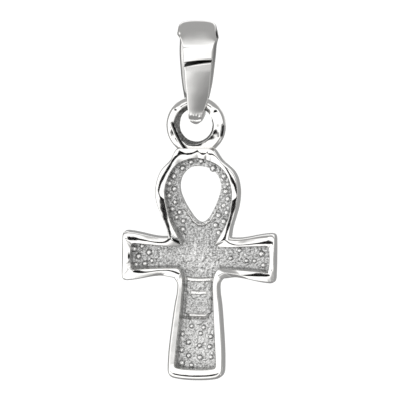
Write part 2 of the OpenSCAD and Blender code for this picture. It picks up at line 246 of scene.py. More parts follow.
def lay(points, depth):
    points = np.asarray(points, float)
    depth = np.broadcast_to(np.asarray(depth, float), (len(points),))
    x = points[:, 0] + sway(points[:, 1])
    return np.column_stack([x, depth - back_reach, points[:, 1]])


print("the arms lie", round(float(sway(arm_z)), 2), "mm to the right of the eye")

# %% Match each station to a middle point
RUNS = [out_loop, out_top, out_end, out_low, out_stem, out_foot]
n_loop, n_top, n_end, n_low, n_stem, n_foot = [(len(run) - 1) * STEPS for run in RUNS]
half_count = len(outer_half) - 1
ring_count = 2 * half_count
hole_count = 2 * (len(hole_half) - 1)
arm_mid = np.column_stack([
    np.linspace(cusp_x * 0.85, end_x - rim_tip * 0.9, n_top + 1),
    np.full(n_top + 1, arm_z),
])
stem_mid = np.column_stack([
    np.zeros(n_stem + 1),
    np.linspace(arm_z - arm_root * 0.68, arm_z - stem_length * 0.81, n_stem + 1),
])

# Each station looks to a middle point: on the hole's edge, then in the arm's middle, then in the stem's.
arm_right = hole_count
arm_left = arm_right + n_top + 1
stem_first = arm_left + n_top + 1
stations = [(j, j) for j in range(n_loop + 1)]
stations += [(n_loop + j, arm_right + j) for j in range(n_top + 1)]
stations += [(n_loop + n_top + j, arm_right + n_top) for j in range(1, n_end + 1)]
stations += [(n_loop + n_top + n_end + j, arm_right + n_top - j) for j in range(1, n_low + 1)]
base = n_loop + n_top + n_end + n_low
stations += [(base + j, stem_first + j) for j in range(n_stem + 1)]
stations += [(base + n_stem + j, stem_first + n_stem) for j in range(1, n_foot + 1)]
hole_loop = whole(hole_half) + [hole_offset, 0]
hole_loop[:, 0] += 0.11 * ease(-hole_loop[:, 0] / 0.8)
middles = np.vstack([hole_loop, arm_mid, arm_mid * [-1, 1], stem_mid])


def left_middle(m):
    if m <= hole_count // 2:
        return (hole_count - m) % hole_count
    return m + n_top + 1 if m < arm_left else m


looks_to = {}
for place, middle in stations:
    looks_to.setdefault(place, middle)
spread_half = np.array([middles[looks_to[j]] for j in range(half_count + 1)])
outer_ring, inner_ring, spread_ring = whole(outer_half), whole(inner_half), whole(spread_half)
inner_ring[:, 0] += hole_offset * ease((inner_ring[:, 1] - loop_z) / loop_height / 0.3 + 3.17)
inner_ring[:, 0] += 0.24 * ease((inner_ring[:, 0] - 3.2) / 1.5)
print("points round one ring:", ring_count)


# %% [markdown]
# ## The crest of the rim
#
# A polishing wheel leaves two soft facets on the rim, one leaning out and one leaning in, and they meet
# in a crest. The crest wanders: it lies near the outside round the loop and near the hollow along the
# arms, and where the wheel stayed longer it is broad and flat. The crest is where the metal mirrors the
# dark opening of the camera, so these places decide where the black lines run. They are listed for both
# halves: the run of the outline, how far along it, the crest's share of the rim's width, and its half
# width in mm.

# %% Place the crest along the rim
crest_right = [
    (0, 0, 0.45, 0.15), (0, 0.03, 0.3, 0.15), (0, 0.06, 0.62, 0.15), (0, 0.1, 0.6, 0.15),
    (0, 0.13, 0.33, 0.15), (0, 0.16, 0.56, 0.15), (0, 0.2, 0.45, 0.12), (0, 0.27, 0.38, 0.1),
    (0, 0.36, 0.25, 0.08), (0, 0.41, 0.43, 0.12), (0, 0.45, 0.62, 0.2), (0, 0.5, 0.68, 0.3),
    (0, 0.55, 0.62, 0.4), (0, 0.59, 0.43, 0.42), (0, 0.64, 0.2, 0.35), (0, 0.665, 0.2, 0.08),
    (0, 0.68, 0.57, 0.5), (0, 0.73, 0.59, 0.7), (0, 0.77, 0.63, 0.65), (0, 0.82, 0.6, 0.6),
    (0, 0.86, 0.56, 0.5), (0, 0.91, 0.46, 0.42), (0, 0.95, 0.42, 0.3), (1, 0, 0.33, 0.18),
    (1, 0.08, 0.36, 0.18), (1, 0.17, 0.44, 0.18), (1, 0.25, 0.55, 0.18), (1, 0.33, 0.65, 0.18),
    (1, 0.42, 0.78, 0.18), (1, 0.5, 0.83, 0.18), (1, 0.67, 0.83, 0.18), (1, 0.83, 0.81, 0.18),
    (1, 0.92, 0.83, 0.25), (2, 0, 0.83, 0.32), (2, 0.06, 0.82, 0.32), (2, 0.12, 0.78, 0.3),
    (2, 0.19, 0.66, 0.25), (2, 0.25, 0.5, 0.15), (2, 0.33, 0.35, 0.06), (2, 0.6, 0.35, 0.06),
    (2, 0.69, 0.62, 0.12), (2, 0.81, 0.63, 0.15), (2, 0.94, 0.66, 0.2), (3, 0.08, 0.63, 0.3),
    (3, 0.25, 0.57, 0.3), (3, 0.42, 0.47, 0.28), (3, 0.5, 0.48, 0.1), (3, 0.58, 0.52, 0.06),
    (3, 0.83, 0.62, 0.06), (3, 1, 0.6, 0.08), (4, 0.1, 0.35, 0.03), (4, 1, 0.35, 0.03),
    (5, 0.3, 0.4, 0.1), (5, 1, 0.385, 0.1),
]
crest_left = [
    (0, 0, 0.45, 0.15), (0, 0.04, 0.62, 0.15), (0, 0.09, 0.64, 0.2), (0, 0.13, 0.56, 0.4),
    (0, 0.17, 0.5, 0.45), (0, 0.22, 0.52, 0.3), (0, 0.27, 0.55, 0.2), (0, 0.36, 0.5, 0.2),
    (0, 0.41, 0.6, 0.27), (0, 0.45, 0.67, 0.36), (0, 0.5, 0.67, 0.42), (0, 0.55, 0.6, 0.42),
    (0, 0.59, 0.5, 0.35), (0, 0.64, 0.47, 0.2), (0, 0.665, 0.5, 0.08), (0, 0.68, 0.78, 0.4),
    (0, 0.7, 0.78, 0.9), (0, 0.75, 0.72, 1.0), (0, 0.77, 0.64, 0.85), (0, 0.82, 0.54, 0.65),
    (0, 0.86, 0.43, 0.55), (0, 0.91, 0.37, 0.48), (0, 0.95, 0.33, 0.42), (1, 0, 0.28, 0.32),
    (1, 0.08, 0.33, 0.32), (1, 0.17, 0.42, 0.32), (1, 0.25, 0.53, 0.32), (1, 0.33, 0.65, 0.32),
    (1, 0.42, 0.73, 0.32), (1, 0.5, 0.78, 0.32), (1, 0.58, 0.77, 0.32), (1, 0.67, 0.71, 0.32),
    (1, 0.75, 0.72, 0.36), (1, 0.83, 0.7, 0.36), (1, 0.92, 0.79, 0.5), (2, 0, 0.8, 0.5),
    (2, 0.08, 0.78, 0.5), (2, 0.14, 0.7, 0.4), (2, 0.2, 0.45, 0.1), (2, 0.25, 0.4, 0.04),
    (2, 0.44, 0.85, 0.05), (2, 0.5, 0.93, 0.25), (2, 0.56, 0.95, 0.2), (2, 0.6, 0.6, 0.04),
    (2, 0.72, 0.6, 0.05), (2, 0.8, 0.93, 0.12), (2, 0.94, 0.92, 0.14), (3, 0, 0.81, 0.3),
    (3, 0.08, 0.73, 0.3), (3, 0.17, 0.65, 0.3), (3, 0.25, 0.61, 0.3), (3, 0.33, 0.62, 0.3),
    (3, 0.42, 0.66, 0.3), (3, 0.58, 0.71, 0.3), (3, 0.67, 0.71, 0.3), (3, 0.75, 0.65, 0.3),
    (3, 0.83, 0.62, 0.3), (3, 0.92, 0.65, 0.3), (4, 0, 0.8, 0.2), (4, 0.08, 0.4, 0.04),
    (4, 1, 0.35, 0.03), (5, 0.3, 0.4, 0.1), (5, 1, 0.385, 0.1),
]
run_start = np.cumsum([0, n_loop, n_top, n_end, n_low, n_stem, n_foot])


def station(run, part):
    """The place on the half outline that lies a part of the way along one run."""
    return mix(run_start[run], run_start[run + 1], part)


def along_ring(right, left, column):
    """Spreads a column of the right and left lists over all points of a ring."""
    places = np.arange(half_count + 1)
    halves = [np.interp(places, [station(*k[:2]) for k in keys], [k[column] for k in keys])
              for keys in (right, left)]
    return np.concatenate([halves[0], halves[1][-2:0:-1]])


crest_share = along_ring(crest_right, crest_left, 2)
crest_width = along_ring(crest_right, crest_left, 3)
rim_width = np.linalg.norm(outer_ring - inner_ring, axis=1)
ring_places = np.minimum(np.arange(ring_count), ring_count - np.arange(ring_count))
on_left = np.arange(ring_count) > half_count
from_corner = np.abs(ring_places - n_loop)
web = np.where(on_left, np.exp(-((from_corner / 2.6) ** 4)), np.exp(-((from_corner / 2.2) ** 2)))
ridge = np.where(on_left, 0.055, 0.03) * web
print("crest lies between", crest_share.min(), "and", crest_share.max(), "of the rim's width")

# %% [markdown]
# ## Lofting the rim
#
# Rings of points are laid from the hollow's wall over the crest to the side and on to the front, which is
# how a loft is made. The side leans out towards the front, so that the wax left its mould. The loop
# is also bent back a little, as soft castings are. A low ridge runs into each corner above the arms.

# %% Lay the rings
FACET_OUT, FACET_IN = 0.2, 0.2
LOOP_LEAN = 0.026
step = total_depth - side_depth


def crest_depth(share):
    """Depth under the crest of every ring point at one share of the rim's width."""
    u = (share - crest_share) * rim_width
    lean_in = FACET_IN * (1 - 0.95 * web)
    facet = np.where(u < 0, FACET_OUT, lean_in)
    into_corner = ridge * np.clip((share - crest_share) / (1 - crest_share), 0, 1)
    return facet * (np.sqrt(u**2 + crest_width**2) - crest_width) - into_corner


def ring_at(share):
    """Points of a ring; above 1 the share goes on from the hollow's edge to the middle line."""
    share = np.broadcast_to(np.asarray(share, float), (ring_count,))[:, None]
    near = mix(outer_ring, inner_ring, np.minimum(share, 1))
    return np.where(share <= 1, near, mix(inner_ring, spread_ring, np.maximum(share - 1, 0)))


print("the hollow's edge lies up to", round(float(crest_depth(1.0).max()), 3), "mm under the crest")

# %% Round the shoulder
# The shoulder is the rounded edge between the outer facet and the side. Each row is the run, how far
# along it, and the width in mm.
shoulder_right = [
    (0, 0, 0.03), (0, 0.16, 0.03), (0, 0.26, 0.13), (0, 1, 0.13), (1, 0.06, 0.28), (1, 0.3, 0.34),
    (1, 0.9, 0.3), (2, 0, 0.2), (2, 0.2, 0.15), (2, 0.8, 0.16), (3, 0, 0.2), (3, 0.9, 0.19),
    (4, 0.1, 0.13), (4, 0.9, 0.14), (5, 0.3, 0.22), (5, 1, 0.22),
]
shoulder_left = [
    (0, 0, 0.03), (0, 0.16, 0.03), (0, 0.26, 0.145), (0, 1, 0.145), (1, 0.9, 0.145), (2, 0.06, 0.19),
    (3, 0, 0.18), (3, 0.9, 0.17), (4, 0.2, 0.2), (5, 0.2, 0.22), (5, 1, 0.22),
]
shoulder_wide = along_ring(shoulder_right, shoulder_left, 2)
shoulder_share = np.clip(shoulder_wide / rim_width, 0.03, 0.45)
# A broad shoulder is a bevel and not a rounding, so it falls away less steeply.
bevel = 1 - 0.68 * ease((shoulder_wide - 0.14) / 0.045)
outer_shoulder, inner_shoulder = crest_depth(shoulder_share), crest_depth(0.98)
loop_lean = LOOP_LEAN * np.maximum(0, outer_ring[:, 1] - (loop_z - loop_height))
print("the shoulder is", round(shoulder_wide.min(), 2), "to", round(shoulder_wide.max(), 2), "mm wide")

# %% Mark the casting's flaws
# The flaws are painted black: painted shade in them.
FLAW_SHADE = 1.8
FLAWS = [
    # on the left or not, run, part of it, reach in stations, from and to which share of the rim's width
    (True, 1, 0.0, 2.6, 0.4, 0.97),
    (True, 2, 0.5, 2.8, 0.76, 1.1),
    (False, 2, 0.9, 5.0, 0.93, 1.1),
]


def flaw_shade_at(share):
    """How much black painted shade lies in the casting's flaws, for all points of a ring."""
    most = np.zeros(ring_count)
    for left, run, part, reach, low_share, high_share in FLAWS:
        near = np.exp(-(((ring_places - station(run, part)) / reach) ** 4)) * (on_left == left)
        most = np.maximum(most, near * band(share, low_share, high_share, 0.08))
    return FLAW_SHADE * most


print("flaws marked:", len(FLAWS))

# %% Stack the sections from the hollow to the front
# Each section has its share of the rim's width, its depth, and how much it leans with the loop.
WALL_SHARE = 0.14
FRONT_FROM, FRONT_DOWN = 1.15, 0.97
section = []
for part, down in ((1.0, 1.02), (0.72, 0.86), (0.5, 0.6), (0.32, 0.34), (0.16, 0.13), (0.06, 0.035)):
    share = np.full(ring_count, 1 + WALL_SHARE * part)
    section.append((share, mix(inner_shoulder, floor_depth, down), 1.0))
section.append((np.full(ring_count, 0.998), inner_shoulder + 0.008, 1.0))
for part in np.linspace(0, 1, 34):
    share = mix(0.98, shoulder_share, part)
    section.append((share, crest_depth(share), 1.0))
at_neck = ease((0.24 * n_loop - ring_places) / (0.08 * n_loop))
for part, down in ((0.9, 0.01), (0.77, 0.035), (0.65, 0.08), (0.54, 0.15), (0.46, 0.23), (0.38, 0.32),
                   (0.3, 0.45), (0.15, 0.75)):
    # Under the eye the side goes straight back, so that the eye runs into the rim without a step.
    side_share = mix(shoulder_share * part, shoulder_share + 0.16 * down, at_neck)
    section.append((side_share, mix(outer_shoulder, side_depth, down * bevel), 1 - down))
for share, down in ((0.0, 0.0), (0.008, 0.14), (0.03, 0.3), (0.075, 0.46), (0.14, 0.58), (0.24, 0.7),
                    (0.36, 0.8), (0.52, 0.87), (0.75, 0.93), (FRONT_FROM, FRONT_DOWN)):
    section.append((np.full(ring_count, share), np.full(ring_count, side_depth + step * down), 0.0))


def hand_wave(p, scale, seed):
    return noise.noise(Vector((p[0] * scale + seed, p[1] * scale, p[2] * scale)))


rings = []
for share, depth, lean in section:
    ring = lay(ring_at(share), depth + loop_lean * lean)
    # Handwork leaves long waves and a few short ones on the rim, and none on the side.
    for p in ring:
        p[1] += lean * (0.006 * hand_wave(p, 1.1, 3.0) + 0.002 * hand_wave(p, 3.0, 9.0))
    rings.append(ring)
print("rings in the loft:", len(rings))

# %% [markdown]
# ## The sunken floor
#
# The floor was never touched after casting. It is grainy, has a lip under the teardrop hole and a lump
# where the metal ran in at the crossing. A net of small triangles is stretched between the hollow's
# wall and the hole, and every point is then pushed up or down by what lies there: grain, lump, lip,
# plate and ledges. A picture of the relief would be quicker, but a real net also holds in a side view.

# %% Say how high the floor stands at each place
plate_top = arm_z - stem_length * 0.171


def ledges(x, z):
    """How much of a ledge of the bare plate lies at a place, 0 to 1."""
    down = (plate_top - z) / plate_height
    smile = 0.075 * (1 - (x / plate_width * 2) ** 2)
    most = 0.0
    for place, width in ((0.03, 1.25), (0.39, 0.66), (1.03, 0.72)):
        across = band(x, -plate_width * width / 2, plate_width * width / 2, 0.2)
        off = (down - place) * plate_height - smile
        most = max(most, across * band(off, -0.15, 0.15, 0.1) * (1 - 0.55 * off))
    return float(most)


def groove(x, z):
    under = (plate_top - z) - plate_height * 1.03 - 0.24
    return float(band(x, -1.15, 0.75, 0.2)) * math.exp(-((under / 0.07) ** 2))


def plate(x, z):
    down = (plate_top - z) / plate_height
    return float(band(x, -plate_width / 2, plate_width / 2, 0.14) * band(down, 0, 1, 0.06))


def lip(z, to_hole):
    low = float(ease((loop_z - hole_drop - hole_height * 0.72 - z) / 0.5))
    return low * math.exp(-(((to_hole - 0.17) / 0.075) ** 2))


def crossing(x, z):
    return math.exp(-((x / 1.2) ** 2) - ((z - arm_z + 0.2) / 1.0) ** 2)


def floor_height(x, z, to_hole):
    grain = 0.0
    for scale, size, seed in ((2.2, 0.03, 1.0), (4.6, 0.05, 5.0), (8.5, 0.045, 8.0)):
        grain += size * noise.noise(Vector((x * scale, seed, z * scale)))
    edge = 0.05 * math.exp(-((to_hole / 0.2) ** 2)) + 0.1 * lip(z, to_hole)
    stamp = max(plate_lift * plate(x, z), 0.8 * ledge_lift * ledges(x, z))
    on_ledge = ledges(x, z)
    return grain * (1 - 0.9 * on_ledge) + 0.1 * crossing(x, z) + edge + stamp - 0.22 * groove(x, z)


def floor_cast(x, z, to_hole):
    """How rough the floor is at a place: 1 as cast, less where a brush has touched the high spots."""
    touched = 0.35 * crossing(x, z) + 0.25 * float(ease((plate_top - plate_height - z) / 1.0))
    touched += 0.12 * plate(x, z)
    return 1 - max(touched, ledges(x, z), lip(z, to_hole))


print("floor at the crossing:", round(floor_height(0.0, arm_z, 9.0), 3), "mm up")

# %% Stretch the net over the floor
def inside(points, loop):
    x, z = points[:, 0:1], points[:, 1:2]
    x1, z1 = loop[:, 0], loop[:, 1]
    x2, z2 = np.roll(x1, -1), np.roll(z1, -1)
    with np.errstate(divide="ignore", invalid="ignore"):
        crosses = ((z1 > z) != (z2 > z)) & (x < (x2 - x1) * (z - z1) / (z2 - z1) + x1)
    return crosses.sum(axis=1) % 2 == 1


def nearest(outline):
    """A tree that finds the nearest point of an outline."""
    tree = kdtree.KDTree(len(outline))
    for i, p in enumerate(outline):
        tree.insert((p[0], p[1], 0), i)
    tree.balance()
    return tree


def away_from(tree, p):
    return tree.find((p[0], p[1], 0))[2]


MESH = 0.048
edge_loop = ring_at(section[0][0])
edge_points = np.vstack([edge_loop, hole_loop])
edge_tree, hole_tree = nearest(edge_points), nearest(hole_loop)
rng = np.random.default_rng(7)
low, high = edge_loop.min(axis=0), edge_loop.max(axis=0)
gx, gz = np.meshgrid(np.arange(low[0], high[0], MESH), np.arange(low[1], high[1], MESH * 0.9))
gx[1::2] += MESH / 2
grid = np.column_stack([gx.ravel(), gz.ravel()])
grid += rng.uniform(-0.2, 0.2, grid.shape) * MESH
grid = grid[inside(grid, edge_loop) & ~inside(grid, hole_loop)]
grid = np.array([p for p in grid if away_from(edge_tree, p) > MESH * 0.6])
flat = [Vector(p) for p in np.vstack([edge_points, grid])]
n_edge, n_hole = len(edge_loop), len(hole_loop)
bounds_edges = [(i, (i + 1) % n_edge) for i in range(n_edge)]
bounds_edges += [(n_edge + i, n_edge + (i + 1) % n_hole) for i in range(n_hole)]
net = delaunay_2d_cdt(flat, bounds_edges, [], 0, 1e-7)
net_points = np.array([list(p) for p in net[0]])
net_faces = np.array([f for f in net[2] if len(f) == 3])
centres = net_points[net_faces].mean(axis=1)
net_faces = net_faces[inside(centres, edge_loop) & ~inside(centres, hole_loop)]
print("floor points:", len(net_points), "triangles:", len(net_faces))

# %% Raise the net to the floor's height
heights = np.zeros(len(net_points))
floor_finish = np.ones(len(net_points))
for i, p in enumerate(net_points):
    wall, hole = away_from(edge_tree, p), away_from(hole_tree, p)
    rise = floor_height(p[0], p[1], hole)
    heights[i] = rise * (1.0 if hole < wall + 0.01 else float(ease(wall / 0.15)))
    floor_finish[i] = floor_cast(p[0], p[1], hole)
net_lay = lay(net_points, floor_depth - heights)
# The net's border is the wall's lowest ring itself, so that the two weld.
net_lay[:n_edge] = rings[0]
print("the floor rises by up to", round(float(heights.max()), 3), "mm")

# %% [markdown]
# ## Closing the casting
#
# The front can't be seen in the photograph, so it is a plain polished shell, slightly domed, as such
# charms are. Rings, floor, front and the wall of the hole are put into one mesh and welded where
# they meet, so that the casting is closed all round, like the metal.

# %% Put the casting's mesh together
points, faces, cast = [], [], []


def add_points(block, finish_shade_amount):
    start = sum(len(b) for b in points)
    points.append(np.asarray(block))
    cast.append(np.broadcast_to(np.asarray(finish_shade_amount, float), (len(block),)))
    return start


def stitch(into, a, b, count):
    """Joins two closed rings of count points, that start at a and at b, with four-sided faces."""
    for i in range(count):
        n = (i + 1) % count
        into.append((a + i, a + n, b + n, b + i))


ring_start = []
for (share, _, lean), ring in zip(section, rings):
    on_wall = ease((share - 1.0) / WALL_SHARE * 2.2)
    is_back = share.max() < 1.0 and np.all(lean == 1.0)
    finish_shade_amount = on_wall if share.min() > 0.99 and lean == 1.0 else flaw_shade_at(share) * is_back
    ring_start.append(add_points(ring, finish_shade_amount))
for a, b in zip(ring_start[:-1], ring_start[1:]):
    stitch(faces, b, a, ring_count)

floor_start = add_points(net_lay, floor_finish)
faces += [tuple(int(floor_start + v) for v in f) for f in net_faces]
print("faces of the rim and the floor:", len(faces))

# %% Close the front
front_rings = [ring_start[-1]]
for share in np.linspace(FRONT_FROM, 2.0, 7)[1:-1]:
    t = (share - FRONT_FROM) / (2.0 - FRONT_FROM)
    depth = side_depth + step * mix(FRONT_DOWN, 1.0, float(ease(t)))
    front_rings.append(add_points(lay(ring_at(share), depth), 0.0))
for a, b in zip(front_rings[:-1], front_rings[1:]):
    stitch(faces, b, a, ring_count)

# The front falls a little towards the hole, but stays level at the hole's foot.
HOLE_DOWN = 0.8
off_foot = ease((middles[:, 1] - hole_loop[:, 1].min() - 0.1) / 0.8)
edge_depth = side_depth + step * mix(1.0, HOLE_DOWN, off_foot)
front_depth = np.where(np.arange(len(middles)) < hole_count, edge_depth, total_depth)
front_mid = add_points(lay(middles, front_depth), 0.0)
last_ring = front_rings[-1]
for (p0, m0), (p1, m1) in zip(stations[:-1], stations[1:]):
    left0, left1 = (ring_count - p0) % ring_count, (ring_count - p1) % ring_count
    if p0 != p1:
        faces.append((last_ring + p1 % ring_count, last_ring + p0, front_mid + m1))
        faces.append((last_ring + left0, last_ring + left1, front_mid + left_middle(m1)))
    if m0 != m1:
        faces.append((front_mid + m1, last_ring + p0, front_mid + m0))
        faces.append((last_ring + left0, front_mid + left_middle(m1), front_mid + left_middle(m0)))
faces.append((front_mid + n_loop, front_mid + stem_first, front_mid + arm_right))
faces.append((front_mid + n_loop, front_mid + arm_left, front_mid + stem_first))
print("faces with the front:", len(faces))

# %% Wall the hole
hole_heights = heights[n_edge:n_edge + n_hole]
wall_rings = [add_points(lay(hole_loop, floor_depth - hole_heights), 0.5)]
for t in (0.2, 0.45, 0.7, 0.9):
    level = mix(floor_depth - hole_heights, side_depth + step * HOLE_DOWN, t)
    wall_rings.append(add_points(lay(hole_loop, level), 0.4 * (1 - t)))
wall_rings.append(front_mid)
for a, b in zip(wall_rings[:-1], wall_rings[1:]):
    stitch(faces, a, b, hole_count)
print("faces of the casting:", len(faces))


# %% Make a piece from points and faces
# Points closer than WELD are one point, and an edge shorter than SLIVER is dropped, both in metres.
WELD, SLIVER = 2e-7, 1e-8
# Edges in front of FRONT_Y, in mm, that turn by more than CRISP_ANGLE, in radians, are kept crisp.
FRONT_Y, CRISP_ANGLE = 0.68, 0.9


def in_metres(coords):
    return [tuple(float(c) * MM for c in p) for p in coords]


def make_piece(name, coords, polygons, finish_and_shade_values):
    mesh = bpy.data.meshes.new(name)
    mesh.from_pydata(in_metres(coords), [], [tuple(f) for f in polygons])
    layer = mesh.attributes.new("cast_finish_and_shade", "FLOAT", "POINT")
    layer.data.foreach_set("value", np.asarray(finish_and_shade_values, np.float32))
    work = bmesh.new()
    work.from_mesh(mesh)
    bmesh.ops.remove_doubles(work, verts=work.verts, dist=WELD)
    bmesh.ops.dissolve_degenerate(work, edges=work.edges, dist=SLIVER)
    bmesh.ops.recalc_face_normals(work, faces=work.faces)
    open_edges = sum(1 for e in work.edges if len(e.link_faces) != 2)
    for face in work.faces:
        face.smooth = True
    # The hole's edge is crisp at the front, so that no shade runs from it over the flat front.
    for edge in work.edges:
        at_front = min(v.co.y for v in edge.verts) > FRONT_Y * MM
        if at_front and len(edge.link_faces) == 2 and edge.calc_face_angle() > CRISP_ANGLE:
            edge.smooth = False
    work.to_mesh(mesh)
    work.free()
    piece = bpy.data.objects.new(name, mesh)
    scene.collection.objects.link(piece)
    print(name, "faces:", len(mesh.polygons), "open edges:", open_edges)
    return piece


casting = make_piece("ankh_casting", np.vstack(points), faces, np.concatenate(cast))


# %% [markdown]
# ## The eye
#
# The eye was cast with the charm: a ring whose faces the wheel has flattened, and whose hole was left
# rough. Its hole opens like a funnel to the back; inside it is painted darker than the floor, as shade.
# A torus would look like bent wire, so the section is drawn point by point and turned round the hole.

# %% Draw the eye's section
turns, around_section = 300, 8
EYE_TILT = math.tan(math.radians(2.5))
ring_in, ring_middle, ring_out = eye_hole / 2, (eye_hole + eye_wire) / 2, eye_hole / 2 + eye_wire
half_thick = eye_thickness / 2


def from_top(angle):
    """How far round the ring an angle lies from its top, in radians."""
    return abs((angle + math.pi) % (2 * math.pi) - math.pi)


def eye_section(angle):
    """The ring's section at an angle, as radius and depth, from the front inner edge to the back."""
    low = float(ease((-math.cos(angle) + 0.2) / 1.0))
    left = float(ease(-math.sin(angle) * 0.8 + 0.4))
    opening = ring_in + mix(0.07, 0.33, left) * (1 - 0.35 * low)
    thick, front = half_thick * (1 + 0.12 * low), half_thick * (1 - 0.12 * low)
    tight = ring_in - 0.085 * float(ease((from_top(angle) - 0.9) / 0.5)) - 0.045 * low
    keys = [
        (ring_in + 0.14, front * 0.72), (ring_in + 0.04, front * 0.35), (tight, -thick * 0.1),
        (mix(tight, opening, 0.55), -thick * 0.5), (opening - 0.03, -thick * 0.9),
        (opening + 0.03, -thick * 0.975), (mix(opening, ring_out, 0.5), -thick * 0.99),
        (ring_out - 0.19, -thick * 0.965), (ring_out - 0.09, -thick * 0.8),
        (ring_out - 0.02, -thick * 0.3), (ring_out, thick * 0.1), (ring_out - 0.08, front * 0.65),
        (ring_out - 0.26, front * 0.94), (ring_in + 0.32, front * 0.97),
    ]
    return fair(keys + keys[:1], around_section, before=keys[-1], after=keys[1])[:-1]


def inside_bail(radius, depth, off_top):
    """Keeps the section within a round wire where the ring swings inside the bail."""
    reach = math.hypot(radius - ring_middle, depth)
    as_wire = min(1.0, (half_thick - 0.015) / max(reach, 1e-6))
    room = mix(as_wire, 1.0, float(ease((off_top - 0.6) / 0.35)))
    return ring_middle + (radius - ring_middle) * room, depth * room


print("points round the section:", len(eye_section(0.0)))

# %% Mark the eye's casting flaws
creases = [
    [(-1.66, -7.0), (-1.6, -7.18), (-1.36, -7.76), (-1.04, -8.34), (-0.68, -8.85)],
    [(2.0, -7.1), (1.98, -7.4), (1.9, -7.75)],
]


def near_crease(x, z):
    """1 on the line of a casting flaw, 0 away from it."""
    here = np.array([x, z])
    best = 9.0
    for line in creases:
        for a, b in zip(line[:-1], line[1:]):
            a, b = np.array(a), np.array(b)
            t = float(np.clip((here - a) @ (b - a) / ((b - a) @ (b - a)), 0, 1))
            best = min(best, float(np.linalg.norm(here - mix(a, b, t))))
    return math.exp(-((best / 0.085) ** 2))


print("flaws at the eye:", len(creases))

# %% Turn the section round the hole
eye_points, eye_finish_and_shade = [], []
for i in range(turns):
    angle = 2 * math.pi * i / turns
    off_top = from_top(angle)
    for j, (radius, depth) in enumerate(eye_section(angle)):
        radius, depth = inside_bail(radius, depth, off_top)
        x, z = radius * math.sin(angle), eye_z + radius * math.cos(angle)
        wave = 0.008 * hand_wave((x, depth, z), 2.2, 4.0)
        depth -= EYE_TILT * (z - eye_z) * float(ease((off_top - 0.62) / 0.35))
        inner_wall = 1.0 if 2 * around_section <= j <= 4 * around_section else 0.0
        if inner_wall:
            wave += 0.04 * float(ease((off_top - 0.6) / 0.3)) * hand_wave((x, depth, z), 7.0, 2.0)
        # The crease is cut in as a groove and also painted black: painted shade in it.
        flaw = near_crease(x, z) if depth < 0 else 0.0
        depth += 0.13 * flaw
        eye_points.append((x * (1 + wave / 2), depth * (1 + wave * 2), z + wave / 3))
        eye_finish_and_shade.append(max(inner_wall, 2 * flaw))
sides = len(eye_points) // turns
eye_faces = []
for i in range(turns):
    stitch(eye_faces, i * sides, (i + 1) % turns * sides, sides)
eye = make_piece("eye_ring", eye_points, eye_faces, eye_finish_and_shade)

# %% [markdown]
# ## The nubs
#
# The nubs on the floor are all the same little dome, so Geometry Nodes sets one dome on each of a list
# of points and sizes it by chance, with a fixed seed. The list follows the photograph: loose rows round
# the loop, in the arms and down the stem.

# %% List the places of the nubs
band_nubs = [
    [-0.134, 0.173], [0.105, 0.162], [-0.349, 0.243], [0.368, 0.238], [-0.565, 0.335], [0.608, 0.324],
    [-0.672, 0.416], [0.703, 0.41], [-0.553, 0.475], [0.656, 0.491], [-0.672, 0.551], [0.703, 0.572],
    [-0.541, 0.621], [0.596, 0.648], [-0.612, 0.697], [0.656, 0.724], [-0.445, 0.729], [0.464, 0.756],
    [-0.529, 0.788], [0.572, 0.821], [-0.373, 0.826], [0.38, 0.864], [-0.397, 0.918], [0.44, 0.945],
]
stem_nubs = [
    [-0.213, 0.565], [0.217, 0.573], [-0.524, 0.63], [0.118, 0.622], [0.479, 0.646], [-0.3, 0.695],
    [0.097, 0.72], [0.455, 0.728], [-0.54, 0.76], [-0.283, 0.805], [0.112, 0.817], [0.504, 0.813],
    [-0.524, 0.866], [-0.182, 0.882],
]
arm_nubs = [
    [-0.749, 0.476], [-0.794, -0.053], [-0.852, 0.317], [-0.827, -0.476], [-0.658, 0.159],
    [-0.62, -0.265], [-0.71, -0.423], [0.519, 0.37], [0.609, -0.159], [0.713, -0.159], [0.803, 0.212],
    [0.402, -0.053], [0.829, -0.37],
]
nub_places = [[n[0] * loop_width / 2, loop_z - n[1] * loop_height] for n in band_nubs]
nub_places += [[n[0] * stem_foot / 2, arm_z - n[1] * stem_length] for n in stem_nubs]
nub_places += [[n[0] * arm_span / 2, arm_z + n[1] * arm_root / 2] for n in arm_nubs]
nub_rise = [floor_height(p[0], p[1], away_from(hole_tree, p)) for p in nub_places]
nub_spots = lay(nub_places, floor_depth - np.array(nub_rise))
print("nubs:", len(nub_spots))

# %% [markdown]
# ## Finishes
#
# Two finishes sit side by side. The rim and the bail are polished and rhodium-plated: a bright metal
# with the faint waves that a wheel leaves. The floor is the same metal as cast: pitted and dull, with
# bright grains where a polishing brush has touched the high spots. One number on each point of the
# casting says how much of the cast finish it has, and the material mixes the two by it; above 1 it is
# black painted shade in flaws, and on the bail it is painted shade inside.

# %% Make helpers for colours and nodes
def linear(code):
    values = [int(code[i:i + 2], 16) / 255 for i in (1, 3, 5)]
    return [v / 12.92 if v <= 0.04045 else ((v + 0.055) / 1.055) ** 2.4 for v in values] + [1.0]


def add_node(tree, kind, settings=None, values=None, links=None):
    node = tree.nodes.new(kind)
    for key, value in (settings or {}).items():
        setattr(node, key, value)
    for key, value in (values or {}).items():
        node.inputs[key].default_value = value
    for key, source in (links or {}).items():
        tree.links.new(source, node.inputs[key])
    return node


def new_material(name):
    material = bpy.data.materials.new(name)
    material.use_nodes = True
    tree = material.node_tree
    tree.nodes.clear()
    return material, tree


# The second colour is painted shade inside the bail's hollow, the third painted shade in flaws and
# creases.
PLATED, INSIDE_SHADE, SHADE_BLACK = "#E4E3E1", "#3A3A39", "#101010"
print("plated silver in linear light:", [round(v, 3) for v in linear(PLATED)[:3]])

